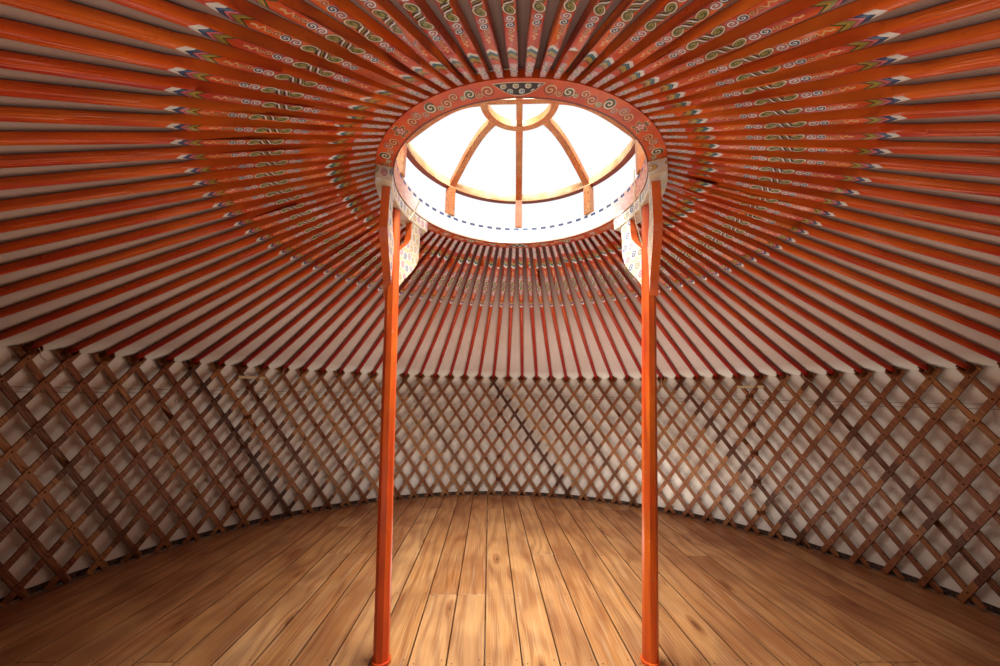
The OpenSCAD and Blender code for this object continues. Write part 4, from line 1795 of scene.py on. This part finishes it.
@dataclass
class Seams:
    """Where two lattice sections meet: their laths' ends lie on each other and are bound with rope."""

    length: float = 0.175
    wrap_r: float = 0.0042
    wrap_steps: int = 12
    wrap_reach: tuple[float, float] = (0.0165, 0.034)
    wrap_spread: float = 0.042
    wrap_wander: float = 0.006
    turns: float = 3.4
    strap_w: float = 0.025
    strap_seams: tuple[int, ...] = (2, 4)
    strap_z: float = 1.38

    def crossings(self) -> list[tuple[float, float, int]]:
        """Each crossing on a seam: the seam's angle, the crossing's lean and its level."""
        found = []
        for seam in range(1, PLAN.section_count):
            angle = PLAN.first_seam + seam * PLAN.section_poles * PLAN.step
            found += [(angle, level * PLAN.step / 2, level) for level in range(-4, 5, 2)]
        return found

    def ends(self, material: bpy.types.Material) -> None:
        """Runs the laths' ends through the seams along the wall's rulings."""
        Bench.clear()
        size = (self.length, PLAN.lath_t - 0.001, PLAN.lath_w - 0.002)
        bpy.ops.mesh.primitive_cube_add(size=1.0, scale=size)
        end = Bench.take("lath_end")
        Bench.modify(end, "BEVEL", width=0.002, segments=1)
        places = []
        for angle, lean, _ in self.crossings():
            for side in (-1, 1):
                waist = angle + lean * side
                run = PLAN.waist_r * math.tan(lean)
                depth = PLAN.waist_r + side * (PLAN.lath_t - PLAN.lath_bite) / 2
                out = Vector((math.cos(waist), math.sin(waist), 0))
                sideways = Vector((math.sin(waist), -math.cos(waist), 0)) * side
                along = sideways * math.cos(PLAN.lath_tilt) + UP * math.sin(PLAN.lath_tilt)
                middle = out * depth + sideways * run
                middle.z = PLAN.waist_z + run * math.tan(PLAN.lath_tilt)
                turn = Matrix((along, out, along.cross(out))).transposed().to_4x4()
                places.append(Matrix.Translation(middle) @ turn)
        finish_piece(Bench.copies(end, places, "seam_lath_ends"), material)

    def wraps(self, material: bpy.types.Material) -> None:
        """Winds rope round each crossing of a seam."""
        made = []
        for angle, lean, level in self.crossings():
            radius = PLAN.waist_r / math.cos(lean)
            height = PLAN.waist_z + radius * math.sin(lean) * math.tan(PLAN.lath_tilt)
            place = Matrix.Translation(polar(radius, angle, height)) @ Matrix.Rotation(angle, 4, "Z")
            points = []
            for k in range(int(self.turns * self.wrap_steps)):
                around = math.tau * k / self.wrap_steps
                spread = (k / (self.turns * self.wrap_steps) - 0.5) * self.wrap_spread
                points.append(place @ Vector((self.wrap_reach[0] * math.cos(around),
                                              self.wrap_reach[1] * math.sin(around),
                                              spread + self.wrap_wander * math.sin(around + level))))
            made.append(Bench.rope(points, self.wrap_r, "wrap"))
        finish_piece(Bench.join(made, "seam_wraps"), material)

    def straps(self, material: bpy.types.Material) -> None:
        """Ties a pale strap round the upper part of two seams."""
        made = []
        for seam in self.strap_seams:
            angle = PLAN.first_seam + seam * PLAN.section_poles * PLAN.step
            radius = PLAN.waist_r / math.cos(5 * PLAN.step / 2) - 0.014
            Bench.clear()
            bpy.ops.mesh.primitive_cube_add(size=1.0, scale=(0.0022, 0.25, self.strap_w))
            strap = Bench.take("strap")
            Bench.bisect(strap, [(Vector((0, y / 40, 0)), Vector((0, 1, 0))) for y in range(-4, 5)])
            place = Matrix.Translation(polar(radius, angle, PLAN.floor_z + self.strap_z))
            strap.data.transform(place @ Matrix.Rotation(angle, 4, "Z"))
            made.append(strap)
        finish_piece(Bench.join(made, "seam_straps"), material)

    def build(self, wood: bpy.types.Material, dark: bpy.types.Material, pale: bpy.types.Material) -> None:
        """Makes what joins the sections."""
        self.ends(wood)
        self.wraps(dark)
        self.straps(pale)


@dataclass
class CrownLines:
    """Thin pale ropes that tie the crown to its columns."""

    rope_r: float = 0.0035
    lines: tuple[tuple[tuple[float, float, float], ...], ...] = (
        ((-0.735, 0.09, 0.19), (-0.728, 0.088, 0.06), (-0.718, 0.088, -0.07), (-0.742, 0.088, -0.27),
         (-0.768, 0.088, -0.44)),
        ((-0.600, 0.11, 0.0), (-0.612, 0.098, -0.05), (-0.626, 0.092, -0.09), (-0.65, 0.085, -0.14)),
        ((0.683, -0.03, 0.16), (0.674, -0.03, 0.0), (0.667, -0.03, -0.13), (0.698, -0.032, -0.27),
         (0.734, -0.034, -0.42)),
        ((0.724, -0.03, 0.17), (0.710, -0.03, 0.05), (0.698, -0.03, -0.06), (0.724, -0.032, -0.21),
         (0.756, -0.034, -0.41)),
    )

    def build(self, material: bpy.types.Material) -> None:
        """Makes the ropes, whose heights are over the crown ring's underside."""
        made = [Bench.rope([Vector((x, y, PLAN.ring_low + z)) for x, y, z in line], self.rope_r, "line")
                for line in self.lines]
        finish_piece(Bench.join(made, "crown_lines"), material)


@dataclass
class Bands:
    """Woven bands round the wall."""

    sides: int = 288
    thickness: float = 0.005

    def build(self, material: bpy.types.Material) -> None:
        """Makes both bands."""
        for which in ("low", "high"):
            node = f"wall_band_{which}"
            low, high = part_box(node)
            Bench.clear()
            bpy.ops.mesh.primitive_cylinder_add(
                vertices=self.sides, radius=high.x - 0.0005, depth=high.z - low.z, end_fill_type="NOTHING",
                location=(0, 0, (low.z + high.z) / 2)
            )
            band = Bench.take(f"webbing_{which}")
            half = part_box("door_jambs")[1].x
            Bench.drop(band, lambda co: abs(co.x) < half and co.y < 0)
            Bench.modify(band, "SOLIDIFY", thickness=self.thickness, offset=-1.0)
            Bench.modify(band, "BEVEL", width=0.0015, segments=1, limit_method="ANGLE")
            finish_piece(band, material)
            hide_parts(node)


@dataclass
class Lashings:
    """The ties of the frame: thong knots at the laths' crossings, and rope ties at the heads."""

    knot_r: float = 0.0065
    tie_r: float = 0.005
    tie_turns: float = 3.4
    tie_steps: int = 10
    tie_spread: float = 0.05
    string_r: float = 0.0022
    string_heads: tuple[int, ...] = (3, 11, 27, 34, 41, 52, 58, 67, 73, 81, 86)
    seed: int = 3

    def crossing(self, turn: float, level: int) -> tuple[float, float, float]:
        """Finds where two laths cross.

        Args:
            turn: The place around the wall, in pole steps from the first seam.
            level: Half steps above the waist.

        Returns:
            The radius of the inner face, the angle and the height.
        """
        half_angle = level * PLAN.step / 2
        height = PLAN.waist_z + PLAN.waist_r * math.tan(half_angle) * math.tan(PLAN.lath_tilt)
        radius = PLAN.waist_r / math.cos(half_angle)
        return radius, PLAN.first_seam + turn * PLAN.step, height

    def knots(self, material: bpy.types.Material) -> None:
        """Sets a thong knot on the inner side of every crossing."""
        Bench.clear()
        flat = (0.55, 1.0, 1.0)
        bpy.ops.mesh.primitive_uv_sphere_add(segments=7, ring_count=4, radius=self.knot_r, scale=flat)
        knot = Bench.take("knot")
        inset = PLAN.lath_t - PLAN.lath_bite / 2
        places = []
        for section in range(PLAN.section_count):
            for level in range(-5, 6):
                for twice in range(1, 2 * PLAN.section_poles):
                    if (twice - level) % 2:
                        continue
                    radius, angle, height = self.crossing(section * PLAN.section_poles + twice / 2, level)
                    places.append(Matrix.Translation(polar(radius - inset, angle, height))
                                  @ Matrix.Rotation(angle, 4, "Z"))
        knots = Bench.copies(knot, places, "thong_knots")
        finish_piece(knots, material)

    def tie(self, chance: random.Random) -> bpy.types.Object:
        """Makes one rope tie round a pole and the lattice head under it.

        Args:
            chance: The source of its small differences.

        Returns:
            The tie, at the origin, with the pole along +X.
        """
        points = []
        for k in range(int(self.tie_turns * self.tie_steps)):
            angle = math.tau * k / self.tie_steps
            spread = (k / (self.tie_turns * self.tie_steps) - 0.5) * self.tie_spread
            reach = 0.027 + 0.004 * chance.random()
            deep = 1.35 if math.sin(angle) < 0 else 1.0
            points.append(Vector((spread, math.cos(angle) * reach, math.sin(angle) * reach * deep - 0.006)))
        return Bench.rope(points, self.tie_r, "tie")

    def ties(self, material: bpy.types.Material) -> None:
        """Ties every pole to its lattice head."""
        chance = random.Random(self.seed)
        kinds = [self.tie(chance) for _ in range(3)]
        made = []
        for i in range(PLAN.section_count * PLAN.section_poles):
            angle = PLAN.first_seam + (i + 0.5) * PLAN.step
            radius = PLAN.wall_r - 0.035 + 0.012 * chance.random()
            place = (Matrix.Translation(polar(radius, angle, PLAN.axis_z(radius) - 0.004))
                     @ Matrix.Rotation(angle, 4, "Z") @ Matrix.Rotation(PLAN.slope, 4, "Y")
                     @ Matrix.Rotation(chance.uniform(-0.5, 0.5), 4, "X"))
            made.append(Bench.copy(kinds[i % 3], "tie", place))
        for kind in kinds:
            bpy.data.objects.remove(kind)
        ties = Bench.join(made, "pole_ties")
        finish_piece(ties, material)

    def strings(self, material: bpy.types.Material) -> None:
        """Adds the pale strings that hang from some heads."""
        chance = random.Random(self.seed + 5)
        made = []
        for i in self.string_heads:
            angle = PLAN.first_seam + (i + 0.5) * PLAN.step
            start = polar(PLAN.wall_r - 0.075, angle, PLAN.axis_z(PLAN.wall_r) - 0.01)
            points = [start + Vector((0, 0, 0.012))]
            for _ in range(5):
                points.append(points[-1] + Vector((chance.uniform(-0.02, 0.02), chance.uniform(-0.02, 0.02),
                                                   -0.012 - 0.006 * chance.random())))
            made.append(Bench.rope(points, self.string_r, "string"))
        strings = Bench.join(made, "pale_strings")
        finish_piece(strings, material)

    def build(self, thong: bpy.types.Material, dark: bpy.types.Material, pale: bpy.types.Material) -> None:
        """Makes all the ties."""
        self.knots(thong)
        self.ties(dark)
        self.strings(pale)


@dataclass(frozen=True)
class View:
    """The photograph's camera, in metres and radians."""

    place: tuple[float, float, float] = (-0.1451, -1.9842, 1.253)
    yaw: float = -0.0255
    pitch: float = 0.1687
    roll: float = 0.018
    lens: float = 13.19
    sensor: float = 36.0

    def build(self) -> None:
        """Adds the camera."""
        ahead = Vector((-math.sin(self.yaw) * math.cos(self.pitch),
                        math.cos(self.yaw) * math.cos(self.pitch), math.sin(self.pitch)))
        level = Vector((math.cos(self.yaw), math.sin(self.yaw), 0))
        rise = level.cross(ahead)
        right = level * math.cos(self.roll) + rise * math.sin(self.roll)
        up = rise * math.cos(self.roll) - level * math.sin(self.roll)
        data = bpy.data.cameras.new("camera")
        data.lens = self.lens
        data.sensor_width = self.sensor
        data.clip_start = 0.02
        camera = bpy.data.objects.new("camera", data)
        bpy.context.scene.collection.objects.link(camera)
        turn = Matrix((right, up, -ahead)).transposed().to_4x4()
        camera.matrix_world = Matrix.Translation(Vector(self.place) + UP * PLAN.floor_z) @ turn
        bpy.context.scene.camera = camera


@dataclass(frozen=True)
class Lamp:
    """One soft square lamp that the camera doesn't see."""

    name: str
    place: tuple[float, float, float]
    target: tuple[float, float, float]
    size: float
    power: float
    colour: Tint = (1.0, 1.0, 1.0)
    spread: float = 180.0

    def build(self) -> None:
        """Hangs the lamp."""
        data = bpy.data.lights.new(self.name, "AREA")
        data.size = self.size
        data.spread = math.radians(self.spread)
        data.energy = self.power
        data.color = self.colour
        lamp = bpy.data.objects.new(self.name, data)
        lamp.location = self.place
        lamp.rotation_mode = "QUATERNION"
        lamp.rotation_quaternion = (Vector(self.target) - lamp.location).to_track_quat("-Z", "Y")
        lamp.visible_camera = False
        bpy.context.scene.collection.objects.link(lamp)


@dataclass(frozen=True)
class Studio:
    """A pale floor, a pale sky and soft lamps inside and outside."""

    sky: float = 0.8
    light_bounces: int = 2
    warm: Tint = (1.0, 0.93, 0.86)
    ground_side: float = 80.0
    ground_z: float = -0.0005

    def lamps(self) -> tuple[Lamp, ...]:
        """The lamps: two on the floor, two at the crown, one in the doorway and one outside."""
        low, ring = PLAN.floor_z, PLAN.ring_low
        return (
            Lamp("floor_bounce_left", (-0.6, 1.5, low + 0.01), (-0.6, 1.5, 3.0), 1.2, 15.0, self.warm),
            Lamp("floor_bounce_right", (1.2, 1.5, low + 0.01), (1.2, 1.5, 3.0), 1.2, 21.0, self.warm),
            Lamp("crown_light", (0, 0.1, ring - 0.03), (0.15, 0.3, 0), 1.0, 31.0, spread=110.0),
            Lamp("crown_sun", (-0.1, -1.0, ring + 1.5), (0, 0.72, ring + 0.07), 0.6, 20.0, spread=70.0),
            Lamp("door_light", (-0.5, -2.35, low + 0.3), (0.5, -0.3, 2.4), 0.8, 7.0, self.warm, 120.0),
            Lamp("outside_key", (-7, -9, 9), (0, 0, 1.2), 6.0, 420.0),
        )

    def world(self) -> None:
        """Makes the sky white to the camera and softer as a light."""
        world = bpy.data.worlds.new("sky")
        world.use_nodes = True
        tree = world.node_tree
        back = next(n for n in tree.nodes if n.type == "BACKGROUND")
        back.inputs[0].default_value = (1, 1, 1, 1)
        path = tree.nodes.new("ShaderNodeLightPath")
        seen = Signal(tree, path.outputs["Is Camera Ray"])
        seen = seen.most(Signal(tree, path.outputs["Is Glossy Ray"]))
        seen = seen.most(Signal(tree, path.outputs["Is Transmission Ray"]))
        strength = seen * (1.0 - self.sky) + self.sky
        tree.links.new(strength.source, back.inputs[1])
        bpy.context.scene.world = world

    def ground(self) -> None:
        """Lays the pale floor that the yurt stands on."""
        Bench.clear()
        bpy.ops.mesh.primitive_plane_add(size=self.ground_side, location=(0, 0, self.ground_z))
        ground = Bench.take("studio_floor")
        coat = Coat("studio_floor", roughness=0.9, specular=0.0)
        coat.colour = tint("EDEBE7")
        ground.data.materials.append(coat.done())

    def build(self) -> None:
        """Sets up the studio."""
        scene = bpy.context.scene
        scene.view_settings.view_transform = "Standard"
        scene.cycles.max_bounces = self.light_bounces
        scene.cycles.debug_use_spatial_splits = True
        scene.cycles.use_light_tree = False
        self.world()
        self.ground()
        for lamp in self.lamps():
            lamp.build()


def dress_frame(iron: bpy.types.Material) -> None:
    """Dresses the frame's own nodes, with the width of their softened edges.

    Args:
        iron: The finish of the door's hinges and handle.
    """
    door = GlossPaint("door_paint", Paint.RED_ORANGE, Paint.RED, streak=4.0).build()
    column = GlossPaint("column_paint", Paint.BRIGHT_ORANGE, Paint.RED_ORANGE).build()
    capital = ScrollPaint("capital_paint", Paint.CREAM.value, flat_edges=False).build()
    wing = ScrollPaint("wing_paint", tint("EBCB96")).build()
    spoke = TimberPaint("spoke_paint", Paint.TAN, Paint.ORANGE, Paint.BROWN).build()
    sawn = SawnTimber("sawn_timber", Paint.GREY_WOOD, Paint.BROWN).build()
    for material, bevel, names in (
        (CrownPaint().build(), 0.0, ("crown_ring",)),
        (RimPaint().build(), 0.004, ("crown_middle_ring",)),
        (spoke, 0.0, ("crown_hub", "crown_spokes")),
        (spoke, 0.004, ("crown_posts",)),
        (column, 0.005, ("column_left", "column_right")),
        (capital, 0.004, ("capital_left", "capital_right")),
        (wing, 0.0, ("wings_left", "wings_right")),
        (door, 0.004, ("door_sill", "door_jambs", "door_lintel")),
        (door, 0.003, ("door_leaf",)),
        (iron, 0.0, ("door_hinges", "door_handle")),
        (sawn, 0.0, ("floor_bearers", "floor_rim")),
    ):
        for name in names:
            dress_node(name, material, bevel)


def main() -> None:
    """Dresses the yurt, piece by piece."""
    logging.basicConfig(level=logging.INFO, format="%(name)s: %(message)s")
    View().build()
    Studio().build()

    iron = WornIron().build()
    lath = LathWood().build()
    lining = WovenCloth("lining", Paint.CLOTH, tint("D8C3AE"), stitched_and_shaded=True).build()
    canvas = WovenCloth("canvas", Paint.CANVAS, tint("CFC6B4"), thread=0.0024, crease=0.01).build()
    webbing = WovenCloth("webbing", Paint.ROPE, tint("9C8560"), thread=0.005, crease=0.003).build()
    dark_rope = RopeFibre("dark_rope", Paint.BROWN, Paint.DARK_BROWN.value).build()
    pale_rope = RopeFibre("pale_rope", Paint.CREAM, Paint.ROPE.value).build()

    Frame().build(PolePaint().build(), lath)
    dress_frame(iron)
    Floor().build(PineBoards().build(), iron)
    Covers().build(lining, FeltWool().build(), canvas)
    CrownFlap().build(canvas, pale_rope)
    Bands().build(webbing)
    Seams().build(lath, dark_rope, webbing)
    Lashings().build(dark_rope, dark_rope, pale_rope)
    CrownLines().build(pale_rope)


if __name__ == "__main__":
    main()
